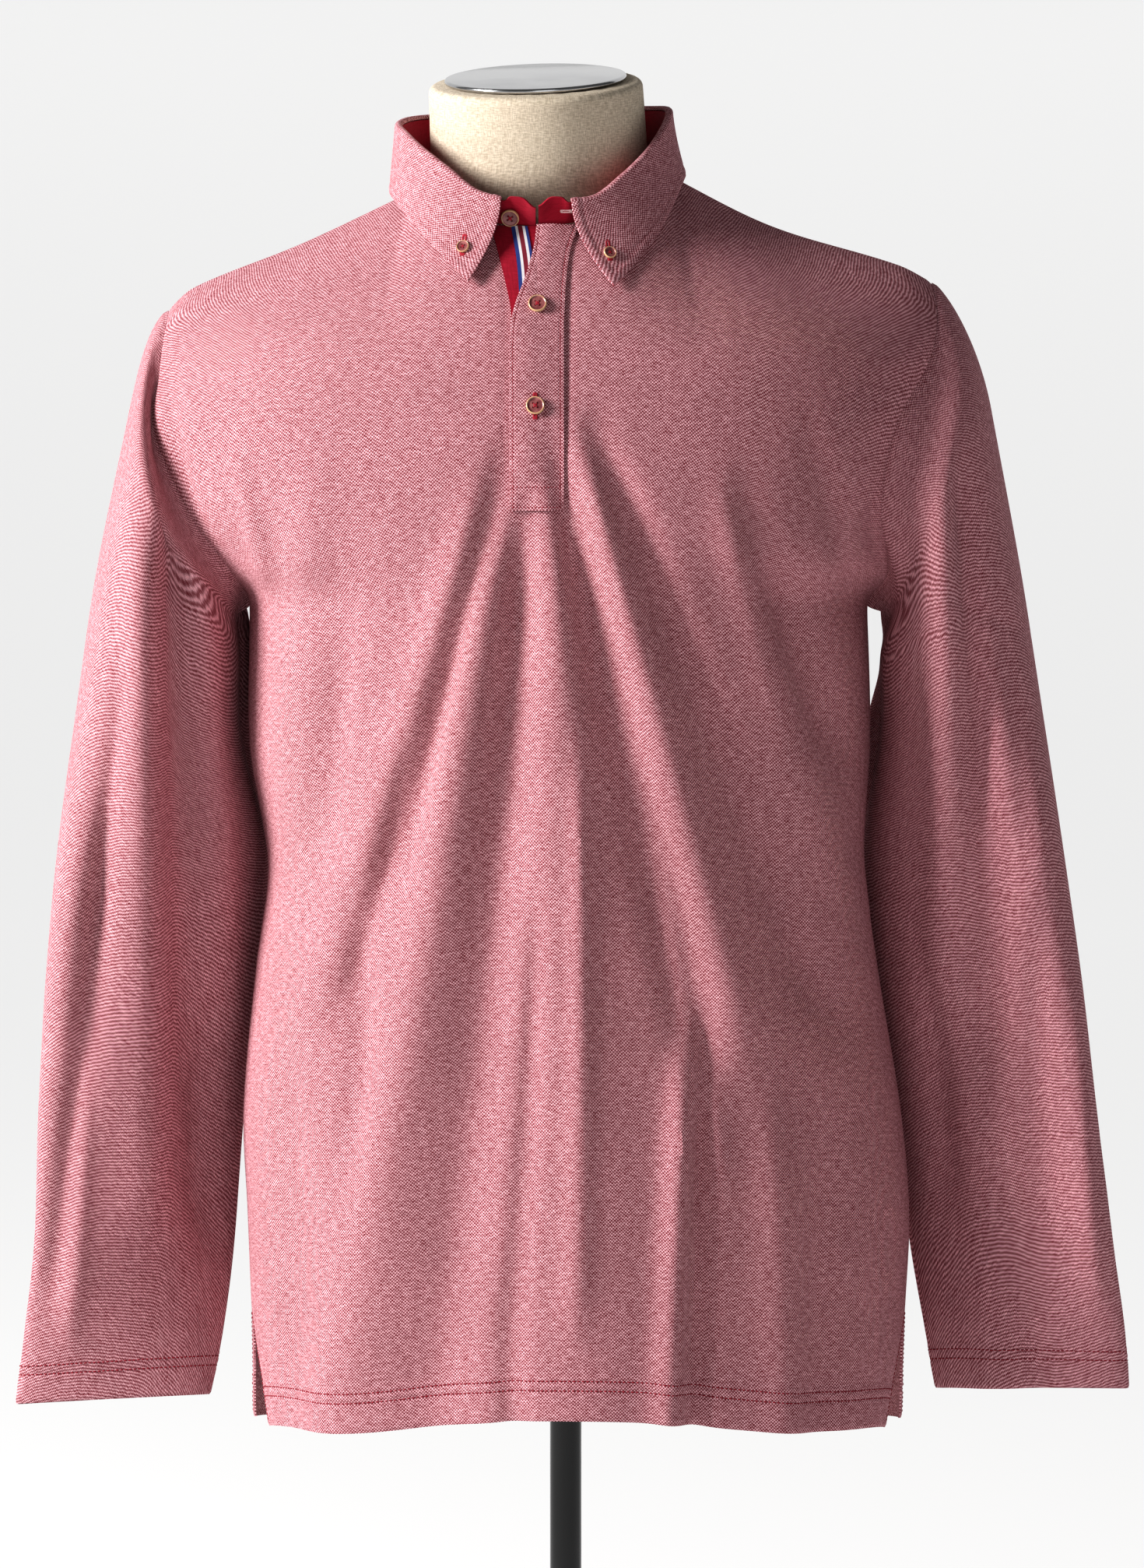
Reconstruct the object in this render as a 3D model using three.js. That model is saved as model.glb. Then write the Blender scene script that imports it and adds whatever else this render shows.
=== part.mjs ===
// A men's long-sleeve polo shirt on a limbless dress form, which stands on a pole and a round base.
// Millimetres, +Z up. The shirt's front faces -Y, and the origin is under the middle of the base.
// "Left" and "right" are the sides seen from in front. In the pieces' names they are the wearer's.
import * as THREE from "three";
import { mergeVertices } from "three/addons/utils/BufferGeometryUtils.js";

// Driving sizes
const CLOTH = 2; // the knitted cloth of the body, sleeves and collar
const SEAM = 0.3; // clearance between pieces that are sewn or laid together
const PLACKET = { back: 1.2, ribbon: 1, front: 1.4 }; // thickness of each layer at the neck opening
const NECK = { middle: -18, depth: -3, halfWidth: 78, halfDepth: 67, frontUp: 1031, backUp: 1071 };
const STAND = { thick: 2, foldLeft: 85.5, foldRight: 81.5, foldDepth: 75 };
const BODY_BUTTON = { radius: 5.65, thick: 2.2 };
const TIP_BUTTON = { radius: 4, thick: 1.8 };
const POLE = { radius: 10, foot: 8.3 };
const BASE = { radius: 150, thick: 8, bevel: 2.5 };
const CAP = { radius: 56.5, thick: 3.2, across: -19, up: 1124, depth: -9, lean: 11, roll: 1.9 };

// Shapes are laid out as somebody sees them from 3.2 m in front, a little above the waist: across and up
// are measured in the plane of the pole, and depth is how far behind that plane a point lies.
const radians = THREE.MathUtils.degToRad;
const EYE = { distance: 3200, drop: radians(5), across: 4, up: 680 };

function place([across, up, depth]) {
  const sin = Math.sin(EYE.drop);
  const cos = Math.cos(EYE.drop);
  const slope = (up - EYE.up) / EYE.distance;
  const rise = (slope * (EYE.distance + depth * cos) - depth * sin) / (cos + slope * sin);
  const away = EYE.distance + depth * cos - rise * sin;
  const x = EYE.across + ((across - EYE.across) * away) / EYE.distance;
  return new THREE.Vector3(x, depth, EYE.up + rise);
}

const lerp = THREE.MathUtils.lerp;
const smooth = (low, high, value) => THREE.MathUtils.smoothstep(value, low, high);

// The row of a table at a value of its key column, every other column on a smooth curve.
function rowAt(table, key, value) {
  const last = table.length - 1;
  let i = 0;
  while (i < last - 1 && value > table[i + 1][key]) i += 1;
  const span = table[i + 1][key] - table[i][key];
  const t = (value - table[i][key]) / span;
  const slopeAt = (k, column) => {
    const before = table[Math.max(k - 1, 0)];
    const after = table[Math.min(k + 1, last)];
    return (after[column] - before[column]) / (after[key] - before[key]);
  };
  const row = {};
  for (const column of Object.keys(table[0])) {
    const m0 = slopeAt(i, column) * span;
    const m1 = slopeAt(i + 1, column) * span;
    row[column] = hermite(table[i][column], m0, table[i + 1][column], m1, t);
  }
  return row;
}

function hermite(p0, m0, p1, m1, t) {
  const t2 = t * t;
  const t3 = t2 * t;
  return (2 * t3 - 3 * t2 + 1) * p0 + (t3 - 2 * t2 + t) * m0 + (3 * t2 - 2 * t3) * p1 + (t3 - t2) * m1;
}

// Front and back panels. v runs from the hem, 0, to the neck and shoulder seams, 1. u runs from the left
// edge, -1, to the right edge, 1. Rows give the middle line and both edges; sweep is how far round the
// body, in degrees, the row turns from its middle to its edge.
const SIDE_SEAM = [
  { v: 0.095, left: -198, right: 214, edgeUp: 352, edgeDepth: 8 },
  { v: 0.18, left: -200.5, right: 216.5, edgeUp: 412, edgeDepth: 8 },
  { v: 0.26, left: -203, right: 211, edgeUp: 476, edgeDepth: 8 },
  { v: 0.37, left: -195, right: 196.5, edgeUp: 566, edgeDepth: 7 },
  { v: 0.45, left: -187.5, right: 188, edgeUp: 632, edgeDepth: 6 },
  { v: 0.54, left: -199, right: 192, edgeUp: 705, edgeDepth: 6 },
  { v: 0.645, left: -199, right: 190, edgeUp: 792, edgeDepth: 6 },
];

const seamRow = ({ v, left, right, edgeUp, edgeDepth }, middle) => ({
  v, ...middle, left, right, dip: 0, sweep: 90,
  leftUp: edgeUp, rightUp: edgeUp, leftDepth: edgeDepth, rightDepth: edgeDepth,
});

const FRONT_MIDDLE = [
  { middle: 7, up: 354, depth: -113 },
  { middle: 6, up: 412, depth: -114 },
  { middle: 4, up: 476, depth: -114 },
  { middle: -1, up: 566, depth: -115 },
  { middle: -5, up: 632, depth: -117 },
  { middle: -9, up: 705, depth: -121 },
  { middle: -14, up: 792, depth: -126 },
];

const FRONT_HEM = {
  v: 0, middle: 8, up: 280, depth: -112, dip: 7, sweep: 84,
  left: -188, leftUp: 276, leftDepth: -18, right: 202, rightUp: 275, rightDepth: -26,
};

const FRONT_CHEST = [
  {
    v: 0.69, middle: -16, up: 828, depth: -128, dip: 0, sweep: 82,
    left: -211, leftUp: 814, leftDepth: -32, right: 203, rightUp: 814, rightDepth: -36,
  },
  {
    v: 0.74, middle: -17.5, up: 866, depth: -128, dip: 0, sweep: 74,
    left: -238, leftUp: 852, leftDepth: -47, right: 199, rightUp: 852, rightDepth: -60,
  },
  {
    v: 0.79, middle: -18, up: 906, depth: -123, dip: 0, sweep: 66,
    left: -260, leftUp: 902, leftDepth: -40, right: 208, rightUp: 902, rightDepth: -62,
  },
  {
    v: 0.85, middle: -18, up: 948, depth: -110, dip: 0, sweep: 60,
    left: -257, leftUp: 938, leftDepth: -26, right: 226, rightUp: 938, rightDepth: -44,
  },
];

const BACK_MIDDLE = [
  { middle: 7, up: 350, depth: 98 },
  { middle: 6, up: 412, depth: 97 },
  { middle: 4, up: 476, depth: 93 },
  { middle: -1, up: 566, depth: 87 },
  { middle: -5, up: 632, depth: 87 },
  { middle: -9, up: 705, depth: 93 },
  { middle: -14, up: 792, depth: 105 },
];

const BACK_HEM = {
  v: 0, middle: 8, up: 286, depth: 98, dip: 0, sweep: 90,
  left: -196.5, leftUp: 282, leftDepth: 9, right: 211.5, rightUp: 281, rightDepth: 9,
};

const BACK_CHEST = [
  {
    v: 0.69, middle: -16, up: 828, depth: 109, dip: 0, sweep: 82,
    left: -208, leftUp: 818, leftDepth: 42, right: 201, rightUp: 818, rightDepth: 42,
  },
  {
    v: 0.74, middle: -17.5, up: 866, depth: 113, dip: 0, sweep: 74,
    left: -224, leftUp: 856, leftDepth: 60, right: 206, rightUp: 856, rightDepth: 60,
  },
  {
    v: 0.79, middle: -18, up: 906, depth: 115, dip: 0, sweep: 66,
    left: -238, leftUp: 902, leftDepth: 60, right: 215, rightUp: 902, rightDepth: 63,
  },
  {
    v: 0.85, middle: -18, up: 948, depth: 111, dip: 0, sweep: 60,
    left: -247, leftUp: 940, leftDepth: 45, right: 225, rightUp: 942, rightDepth: 48,
  },
];

const withMiddle = (middles) => SIDE_SEAM.map((seam, i) => seamRow(seam, middles[i]));
const FRONT_ROWS = [FRONT_HEM, ...withMiddle(FRONT_MIDDLE), ...FRONT_CHEST];
const BACK_ROWS = [BACK_HEM, ...withMiddle(BACK_MIDDLE), ...BACK_CHEST];
const UNDERARM = 0.645;
const YOKE = 0.85;
const NECK_SHARE = 0.36; // the part of u, from the middle, that the neckline takes

// The shoulder seam, from the neck to the top of the sleeve.
const SHOULDER = [
  { along: 0, left: -96, leftUp: 1054.5, right: 60, rightUp: 1067, depth: -3 },
  { along: 0.42, left: -165, leftUp: 1021.8, right: 129, rightUp: 1032.5, depth: 0 },
  { along: 0.88, left: -234, leftUp: 993.5, right: 210, rightUp: 1007.5, depth: 4 },
  { along: 1, left: -250.5, leftUp: 979, right: 231, rightUp: 996.5, depth: 6 },
];

// The neckline by its angle round the neck: 0 at the middle of the back, 180 at the middle of the front.
function neckline(degrees, isLeft) {
  const angle = radians(degrees);
  const sideUp = isLeft ? SHOULDER[0].leftUp : SHOULDER[0].rightUp;
  const endUp = degrees < 90 ? NECK.backUp : NECK.frontUp;
  const across = NECK.middle + (isLeft ? -1 : 1) * NECK.halfWidth * Math.sin(angle);
  const up = lerp(sideUp, endUp, Math.abs(Math.cos(angle)) ** 1.3);
  return [across, up, NECK.depth + NECK.halfDepth * Math.cos(angle)];
}

// The top edge of a panel, and the way the cloth leaves it.
function topEdge(u, isFront) {
  const isLeft = u < 0;
  const share = Math.abs(u);
  const facing = isFront ? -1 : 1;
  if (share <= NECK_SHARE) {
    const turn = (share / NECK_SHARE) * 90;
    const point = neckline(isFront ? 180 - turn : turn, isLeft);
    const side = Math.sin(radians(turn));
    const out = (isLeft ? -1 : 1) * 8 * side;
    return { point, leave: [out, lerp(-52, -26, side), facing * lerp(isFront ? 24 : 34, 58, side)] };
  }
  const along = (share - NECK_SHARE) / (1 - NECK_SHARE);
  const seam = rowAt(SHOULDER, "along", along);
  const point = isLeft ? [seam.left, seam.leftUp, seam.depth] : [seam.right, seam.rightUp, seam.depth];
  const out = (isLeft ? -1 : 1) * lerp(8, 2, along);
  return { point, leave: [out, lerp(-26, -12, along), facing * lerp(58, 46, along)] };
}

function sectionPoint(rows, u, v) {
  const isLeft = u < 0;
  const share = Math.abs(u);
  const row = rowAt(rows, "v", v);
  const seam = v >= SIDE_SEAM[0].v && v <= UNDERARM ? rowAt(SIDE_SEAM, "v", v) : null;
  const sweep = radians(row.sweep);
  const edges = seam ?? row;
  const edge = isLeft ? edges.left : edges.right;
  const edgeUp = seam ? seam.edgeUp : isLeft ? row.leftUp : row.rightUp;
  const edgeDepth = seam ? seam.edgeDepth : isLeft ? row.leftDepth : row.rightDepth;
  const across = row.middle + ((edge - row.middle) * Math.sin(share * sweep)) / Math.sin(sweep);
  const turned = (1 - Math.cos(share * sweep)) / (1 - Math.cos(sweep));
  const up = lerp(row.up, edgeUp, share * share) - row.dip * Math.sin(Math.PI * share) ** 2;
  return [across, up, lerp(row.depth, edgeDepth, turned ** 1.12)];
}

// A panel's outer face before its folds, as seen from in front.
function panelSight(rows, isFront) {
  const step = 0.004;
  return (u, v) => {
    if (v <= YOKE) return sectionPoint(rows, u, v);
    const yoke = sectionPoint(rows, u, YOKE);
    const below = sectionPoint(rows, u, YOKE - step);
    const { point, leave } = topEdge(u, isFront);
    const span = 1 - YOKE;
    const t = (v - YOKE) / span;
    return point.map((end, k) => hermite(yoke[k], ((yoke[k] - below[k]) / step) * span, end, -leave[k], t));
  };
}

const frontSight = panelSight(FRONT_ROWS, true);
const backSight = panelSight(BACK_ROWS, false);

// The larger folds, each a soft ridge (high above 0) or trough (below 0) along a curve through three
// points as seen from in front, with its half width at both ends.
const fold = (high, wideTop, wideEnd, top, bend, end) => ({ high, wideTop, wideEnd, top, bend, end });

const FRONT_FOLDS = [
  fold(-5, 7, 12, [-38, 888], [-62, 800], [-118, 600]),
  fold(6, 8, 15, [-62, 850], [-100, 740], [-160, 560]),
  fold(6, 8, 18, [-42, 830], [-80, 660], [-140, 330]),
  fold(-7, 8, 26, [-26, 850], [-42, 640], [-84, 290]),
  fold(6, 14, 34, [-10, 840], [4, 640], [24, 300]),
  fold(-6, 7, 14, [-2, 880], [34, 740], [84, 520]),
  fold(5, 8, 15, [8, 900], [60, 760], [110, 540]),
  fold(-5, 7, 16, [38, 880], [92, 720], [160, 540]),
  fold(5, 8, 16, [100, 860], [128, 740], [172, 590]),
  fold(-5, 8, 14, [112, 860], [140, 760], [172, 690]),
  fold(6, 5, 9, [78, 520], [74, 400], [68, 285]),
  fold(-5, 7, 10, [90, 500], [86, 400], [80, 285]),
  fold(4, 12, 16, [-160, 880], [-166, 780], [-172, 690]),
  fold(-4, 8, 10, [-132, 610], [-122, 540], [-134, 460]),
  fold(5, 10, 14, [130, 470], [136, 380], [140, 285]),
  fold(-6, 5, 10, [-250, 935], [-248, 890], [-238, 830]),
];

const BACK_FOLDS = [
  fold(6, 10, 22, [-60, 860], [-84, 620], [-110, 300]),
  fold(-6, 8, 20, [-22, 840], [-34, 600], [-40, 300]),
  fold(6, 10, 26, [8, 850], [14, 620], [30, 300]),
  fold(-6, 8, 18, [52, 860], [74, 640], [92, 300]),
  fold(6, 8, 16, [96, 820], [122, 620], [138, 310]),
  fold(-5, 8, 14, [-112, 850], [-140, 700], [-160, 480]),
];

function bezier([x0, y0], [x1, y1], [x2, y2], t) {
  const s = 1 - t;
  return [s * s * x0 + 2 * s * t * x1 + t * t * x2, s * s * y0 + 2 * s * t * y1 + t * t * y2];
}

const FADE = { past: 30, inside: 40, hem: 340 }; // folds that end below `hem` run on to the hem

// How far the folds raise the cloth at a place seen from in front. Each fold fades at its ends.
function foldHeight(folds, across, up) {
  let height = 0;
  for (const { high, wideTop, wideEnd, top, bend, end } of folds) {
    if (up > top[1] + FADE.past || up < end[1] - FADE.past) continue;
    const t = THREE.MathUtils.clamp((top[1] - up) / (top[1] - end[1]), 0, 1);
    const [x] = bezier(top, bend, end, t);
    const reach = (across - x) / lerp(wideTop, wideEnd, t);
    const begun = 1 - smooth(top[1] - FADE.inside, top[1] + FADE.past, up);
    const ended = end[1] < FADE.hem ? 1 : smooth(end[1] - FADE.past, end[1] + FADE.inside / 2, up);
    height += high * begun * ended * Math.exp(-reach * reach);
  }
  return height;
}

// A surface is a function of u and v that gives the outer face's point and its outward direction.
function surface(sight, heightAt, facing) {
  const step = 0.002;
  return (u, v) => {
    const seen = sight(u, v);
    const here = place(seen);
    const du = place(sight(Math.min(u + step, 1), v)).sub(place(sight(Math.max(u - step, -1), v)));
    const dv = place(sight(u, Math.min(v + step, 1))).sub(place(sight(u, Math.max(v - step, 0))));
    const normal = du.cross(dv).normalize().multiplyScalar(facing);
    return { point: here.addScaledVector(normal, heightAt(u, v, seen)), normal, seen };
  };
}

// Folds end before the seams, so that pieces meet there.
function panelFade(u, v) {
  const atSide = 1 - smooth(0.93, 1, Math.abs(u)) * smooth(0.02, 0.12, v);
  return atSide * (1 - smooth(0.9, 0.97, v));
}

// Both panels share the outward direction along the shoulder seam and along the side seam.
function panelSurface(sight, folds, isFront) {
  const heightAt = (u, v, seen) => panelFade(u, v) * foldHeight(folds, seen[0], seen[1]);
  const plain = surface(sight, heightAt, isFront ? 1 : -1);
  return (u, v) => {
    const found = plain(u, v);
    const side = u < 0 ? -1 : 1;
    const ridge = smooth(0.965, 1, v) * smooth(NECK_SHARE - 0.08, NECK_SHARE, Math.abs(u));
    found.normal.lerp(new THREE.Vector3(side * 0.41, 0, 0.91), ridge);
    const seam = smooth(0.94, 1, Math.abs(u)) * smooth(0.02, 0.09, v) * (1 - smooth(0.645, 0.67, v));
    found.normal.lerp(new THREE.Vector3(side, 0, 0), seam).normalize();
    return found;
  };
}

const front = panelSurface(frontSight, FRONT_FOLDS, true);
const back = panelSurface(backSight, BACK_FOLDS, false);

// Walls. Grids are rows of points; the wall closes round the edge of the cells that are kept.
function wall(outer, inner, { round = false, keep = () => true } = {}) {
  const rows = outer.length;
  const columns = outer[0].length;
  const across = round ? columns : columns - 1;
  const points = [...outer.flat(), ...inner.flat()];
  const id = (layer, row, column) => (layer * rows + row) * columns + (column % columns);
  const kept = (row, column) => {
    const c = round ? (column + columns) % columns : column;
    return row >= 0 && row < rows - 1 && c >= 0 && c < across && keep(row, c);
  };
  const index = [];
  const quad = (a, b, c, d) => index.push(a, b, c, a, c, d);
  for (let r = 0; r < rows - 1; r += 1) {
    for (let c = 0; c < across; c += 1) {
      if (!kept(r, c)) continue;
      quad(id(0, r, c), id(0, r, c + 1), id(0, r + 1, c + 1), id(0, r + 1, c));
      quad(id(1, r, c), id(1, r + 1, c), id(1, r + 1, c + 1), id(1, r, c + 1));
      if (!kept(r - 1, c)) quad(id(0, r, c), id(1, r, c), id(1, r, c + 1), id(0, r, c + 1));
      if (!kept(r + 1, c)) {
        quad(id(0, r + 1, c + 1), id(1, r + 1, c + 1), id(1, r + 1, c), id(0, r + 1, c));
      }
      if (!kept(r, c - 1)) quad(id(0, r + 1, c), id(1, r + 1, c), id(1, r, c), id(0, r, c));
      if (!kept(r, c + 1)) {
        quad(id(0, r, c + 1), id(1, r, c + 1), id(1, r + 1, c + 1), id(0, r + 1, c + 1));
      }
    }
  }
  return solid(points, index);
}

// A closed geometry with its faces turned outward, on only the points it uses.
function solid(points, index) {
  const used = [...new Set(index)];
  const renumbered = new Map(used.map((old, i) => [old, i]));
  let faces = index.map((old) => renumbered.get(old));
  const kept = used.map((old) => points[old]);
  let volume = 0;
  for (let i = 0; i < faces.length; i += 3) {
    const [a, b, c] = [kept[faces[i]], kept[faces[i + 1]], kept[faces[i + 2]]];
    volume += a.dot(b.clone().cross(c));
  }
  if (volume < 0) {
    faces = faces.map((_, i) => faces[i - (i % 3) + [0, 2, 1][i % 3]]);
  }
  const geometry = new THREE.BufferGeometry();
  const numbers = kept.flatMap((p) => [p.x, p.y, p.z]);
  geometry.setAttribute("position", new THREE.Float32BufferAttribute(numbers, 3));
  geometry.setIndex(faces);
  geometry.computeVertexNormals();
  return geometry;
}

const steps = (count, from = 0, to = 1) =>
  Array.from({ length: count + 1 }, (_, i) => lerp(from, to, i / count));

// Both faces of a wall on a surface, from `outside` above it to `inside` above it.
function sheetGrid(at, us, vs, outside, inside) {
  const outer = vs.map((v) => us.map((u) => moved(at(u, v), outside)));
  const inner = vs.map((v) => us.map((u) => moved(at(u, v), inside)));
  return [outer, inner];
}

const moved = ({ point, normal }, distance) => point.clone().addScaledVector(normal, distance);

// The colour and finish of each material.
const material = (color, roughness, metalness = 0) =>
  new THREE.MeshStandardMaterial({ color, roughness, metalness });
const PIQUE = material(0xc9707f, 0.85);
const CRIMSON = material(0x8e1f33, 0.8);
const RIBBON = material(0x44598f, 0.7);
const HORN = material(0xb58a7a, 0.4);
const LINEN = material(0xcdbfa2, 0.9);
const STEEL = material(0xc9c9c6, 0.25, 1);
const BLACK = material(0x141414, 0.35);

const object = new THREE.Group();

function add(name, geometry, finish) {
  const mesh = new THREE.Mesh(geometry, finish);
  mesh.name = name;
  object.add(mesh);
  return mesh;
}

// Front panel, open at the middle where the placket goes, and back panel. Both have the same rows, which
// are also the points of the armhole.
const FRONT_COLUMNS = 36;
const BACK_COLUMNS = 20;
const SLIT = { half: 0.036, foot: 0.722 }; // half the opening's width as a part of u, and where it ends
const SPAN = { u: 180, v: 400, s: 700 }; // millimetres for one whole of u and of v at the seams, and of s
const edgeGap = SEAM / 2 / SPAN.u;
const topGap = SEAM / 2 / SPAN.v;

const aboveSlit = [0.748, 0.774, 0.802, 0.832, 0.866, 0.904, 0.944, 0.976];
const armholeRows = [UNDERARM, 0.672, 0.698, SLIT.foot, ...aboveSlit];
const panelRows = [...steps(19, 0, UNDERARM).slice(0, -1), ...armholeRows, 1 - topGap];
const mirrored = (shares) => [...shares.slice(1).reverse().map((share) => -share), ...shares];
const besideSlit = steps(FRONT_COLUMNS / 2 - 2, SLIT.half * 2, 1 - edgeGap);
const frontColumns = mirrored([0, SLIT.half, ...besideSlit]);
const backColumns = steps(BACK_COLUMNS, -1 + edgeGap, 1 - edgeGap);
const outsideSlit = (row, column) =>
  panelRows[row] < SLIT.foot || frontColumns[column] < -SLIT.half || frontColumns[column + 1] > SLIT.half;

for (const [name, panel, us, keep] of [
  ["front", front, frontColumns, outsideSlit],
  ["back", back, backColumns, () => true],
]) {
  add(name, wall(...sheetGrid(panel, us, panelRows, 0, -CLOTH), { keep }), PIQUE);
}

// Sleeves. s runs from the armhole, 0, to the cuff, 1, and turn runs once round from the underarm over the
// front, the outside and the back. Slant is how far behind the middle the edge next to the body lies, and
// twist how far outward the front is turned. The tables' sides are those seen from in front.
const SLEEVE_RIGHT = [
  { s: 0.09, up: 849, rise: 67, inner: 204, outer: 268, depth: 4, half: 72, slant: 0, twist: 0 },
  { s: 0.18, up: 786, rise: 26, inner: 198, outer: 287, depth: 6, half: 70, slant: 4, twist: 0 },
  { s: 0.28, up: 716, rise: 4, inner: 198, outer: 301, depth: 8, half: 60, slant: 10, twist: 0 },
  { s: 0.39, up: 634, rise: 0, inner: 186, outer: 314, depth: 10, half: 49, slant: 28, twist: 0 },
  { s: 0.5, up: 556, rise: 0, inner: 193, outer: 325, depth: 10, half: 40, slant: 30, twist: 0 },
  { s: 0.62, up: 476, rise: 0, inner: 206, outer: 334, depth: 10, half: 32, slant: 32, twist: 0 },
  { s: 0.75, up: 396, rise: 0, inner: 216, outer: 344, depth: 8, half: 26, slant: 32, twist: 0 },
  { s: 0.89, up: 338, rise: 0, inner: 226, outer: 352, depth: 4, half: 18, slant: 20, twist: 0 },
  { s: 1, up: 300, rise: 0, inner: 233, outer: 354.5, depth: 0, half: 12, slant: 8, twist: 0 },
];

const SLEEVE_LEFT = [
  { s: 0.09, up: 848, rise: 66, inner: -207, outer: -275, depth: 4, half: 70, slant: 0, twist: 17 },
  { s: 0.18, up: 785, rise: 26, inner: -205, outer: -296, depth: 6, half: 70, slant: 4, twist: 12 },
  { s: 0.28, up: 714, rise: 4, inner: -204, outer: -309, depth: 8, half: 60, slant: 10, twist: 7 },
  { s: 0.39, up: 634, rise: 0, inner: -187, outer: -320, depth: 10, half: 49, slant: 28, twist: 3 },
  { s: 0.5, up: 556, rise: 0, inner: -194, outer: -327, depth: 10, half: 40, slant: 30, twist: 0 },
  { s: 0.62, up: 476, rise: 0, inner: -202, outer: -332, depth: 10, half: 32, slant: 32, twist: 0 },
  { s: 0.75, up: 396, rise: 0, inner: -208, outer: -334.5, depth: 8, half: 26, slant: 26, twist: 0 },
  { s: 0.89, up: 334, rise: 0, inner: -216, outer: -341, depth: 4, half: 18, slant: 16, twist: 0 },
  { s: 1, up: 293, rise: -3, inner: -224, outer: -346, depth: 0, half: 12, slant: 8, twist: 0 },
];

const SLEEVE_RIGHT_FOLDS = [
  fold(6, 10, 16, [234, 880], [244, 740], [232, 560]),
  fold(-8, 8, 16, [250, 900], [262, 740], [266, 520]),
  fold(5, 12, 18, [286, 760], [304, 620], [322, 400]),
  fold(-4, 10, 14, [300, 600], [296, 480], [300, 380]),
  fold(4, 12, 16, [250, 520], [262, 420], [270, 320]),
];

const SLEEVE_LEFT_FOLDS = [
  fold(6, 10, 14, [-232, 830], [-216, 720], [-218, 560]),
  fold(-10, 8, 20, [-246, 880], [-240, 730], [-226, 500]),
  fold(5, 12, 18, [-270, 830], [-262, 640], [-262, 420]),
  fold(-5, 9, 14, [-290, 650], [-300, 520], [-322, 360]),
  fold(4, 12, 16, [-306, 760], [-316, 660], [-318, 540]),
];

// The armhole seam: up the front panel's edge to the shoulder, then down the back panel's.
function armhole(turn, isLeft) {
  const share = turn <= 0.5 ? turn * 2 : 2 - turn * 2;
  const v = lerp(UNDERARM, 1, share);
  return { panel: turn <= 0.5 ? front : back, u: isLeft ? -1 : 1, v };
}

function sleeveSight(rows, isLeft) {
  const first = rows[0].s;
  const side = isLeft ? -1 : 1;
  const ring = (turn, s) => {
    const { up, rise, inner, outer, depth, half: halfDepth, slant, twist } = rowAt(rows, "s", s);
    const angle = turn * 2 * Math.PI;
    const inward = Math.cos(angle);
    const across = lerp(outer, inner, (inward + 1) / 2) + side * twist * Math.max(Math.sin(angle), 0) ** 2;
    return [across, up - rise * inward, depth + slant * inward - halfDepth * Math.sin(angle)];
  };
  const seamSight = (turn) => {
    const { u, v } = armhole(turn, isLeft);
    return (turn <= 0.5 ? frontSight : backSight)(u, v);
  };
  const step = 0.01;
  return (turn, s) => {
    const round = ((turn % 1) + 1) % 1;
    if (s >= first) return ring(round, s);
    const start = seamSight(round);
    const end = ring(round, first);
    const after = ring(round, first + step);
    const over = Math.sin(Math.PI * round) ** 2;
    const gap = end.map((to, k) => to - start[k]);
    const leave = [gap[0] * 0.6 + side * lerp(7, 20, over), gap[1] * lerp(1.1, 0.45, over), gap[2] * 0.3];
    const t = s / first;
    return start.map((from, k) => hermite(from, leave[k], end[k], ((after[k] - end[k]) / step) * first, t));
  };
}

function sleeveSurface(rows, folds, isLeft) {
  const sight = sleeveSight(rows, isLeft);
  const side = isLeft ? 1 : -1;
  const step = 0.002;
  return (turn, s) => {
    const seen = sight(turn, s);
    const du = place(sight(turn + step, s)).sub(place(sight(turn - step, s)));
    const dv = place(sight(turn, Math.min(s + step, 1))).sub(place(sight(turn, Math.max(s - step, 0))));
    const normal = du.cross(dv).normalize().multiplyScalar(side);
    const ahead = Math.abs(normal.y) * smooth(0.02, 0.12, s);
    const lift = ahead * foldHeight(folds, seen[0], seen[1]);
    const nearSeam = 1 - smooth(0, 0.035, s);
    if (nearSeam > 0) {
      const { panel, u, v } = armhole(((turn % 1) + 1) % 1, isLeft);
      const shared = panel(u, v).normal;
      normal.lerp(shared, nearSeam * smooth(-0.5, 0.1, normal.dot(shared))).normalize();
    }
    return { point: place(seen).addScaledVector(normal, lift), normal, seen };
  };
}

const SLEEVE_ROWS = 21;
const sleeveStart = SEAM / 2 / SPAN.s;
const sleeveSteps = steps(SLEEVE_ROWS, 0, 1).map((s) => sleeveStart + (1 - sleeveStart) * s ** 1.15);
const upFront = armholeRows.map((v) => (v - UNDERARM) / (1 - UNDERARM) / 2);
const sleeveTurns = [...upFront, 0.5, ...upFront.slice(1).reverse().map((turn) => 1 - turn)];
for (const [name, rows, folds, isLeft] of [
  ["sleeve_left", SLEEVE_RIGHT, SLEEVE_RIGHT_FOLDS, false],
  ["sleeve_right", SLEEVE_LEFT, SLEEVE_LEFT_FOLDS, true],
]) {
  const sleeve = sleeveSurface(rows, folds, isLeft);
  add(name, wall(...sheetGrid(sleeve, sleeveTurns, sleeveSteps, 0, -CLOTH), { round: true }), PIQUE);
}

// What lies on a piece is found by where it shows from in front, then moved out from that piece.
function locate(sight, across, up, guess) {
  let [u, v] = guess;
  const step = 1e-3;
  for (let i = 0; i < 20; i += 1) {
    const [x, y] = sight(u, v);
    const [xu, yu] = sight(u + step, v).map((value, k) => (value - [x, y][k]) / step);
    const [xv, yv] = sight(u, v + step).map((value, k) => (value - [x, y][k]) / step);
    const determinant = xu * yv - xv * yu;
    const [dx, dy] = [across - x, up - y];
    u += (dx * yv - dy * xv) / determinant;
    v += (dy * xu - dx * yu) / determinant;
  }
  return [u, v];
}

const onFront = (across, up) => front(...locate(frontSight, across, up, [0.02, 0.85]));

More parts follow.
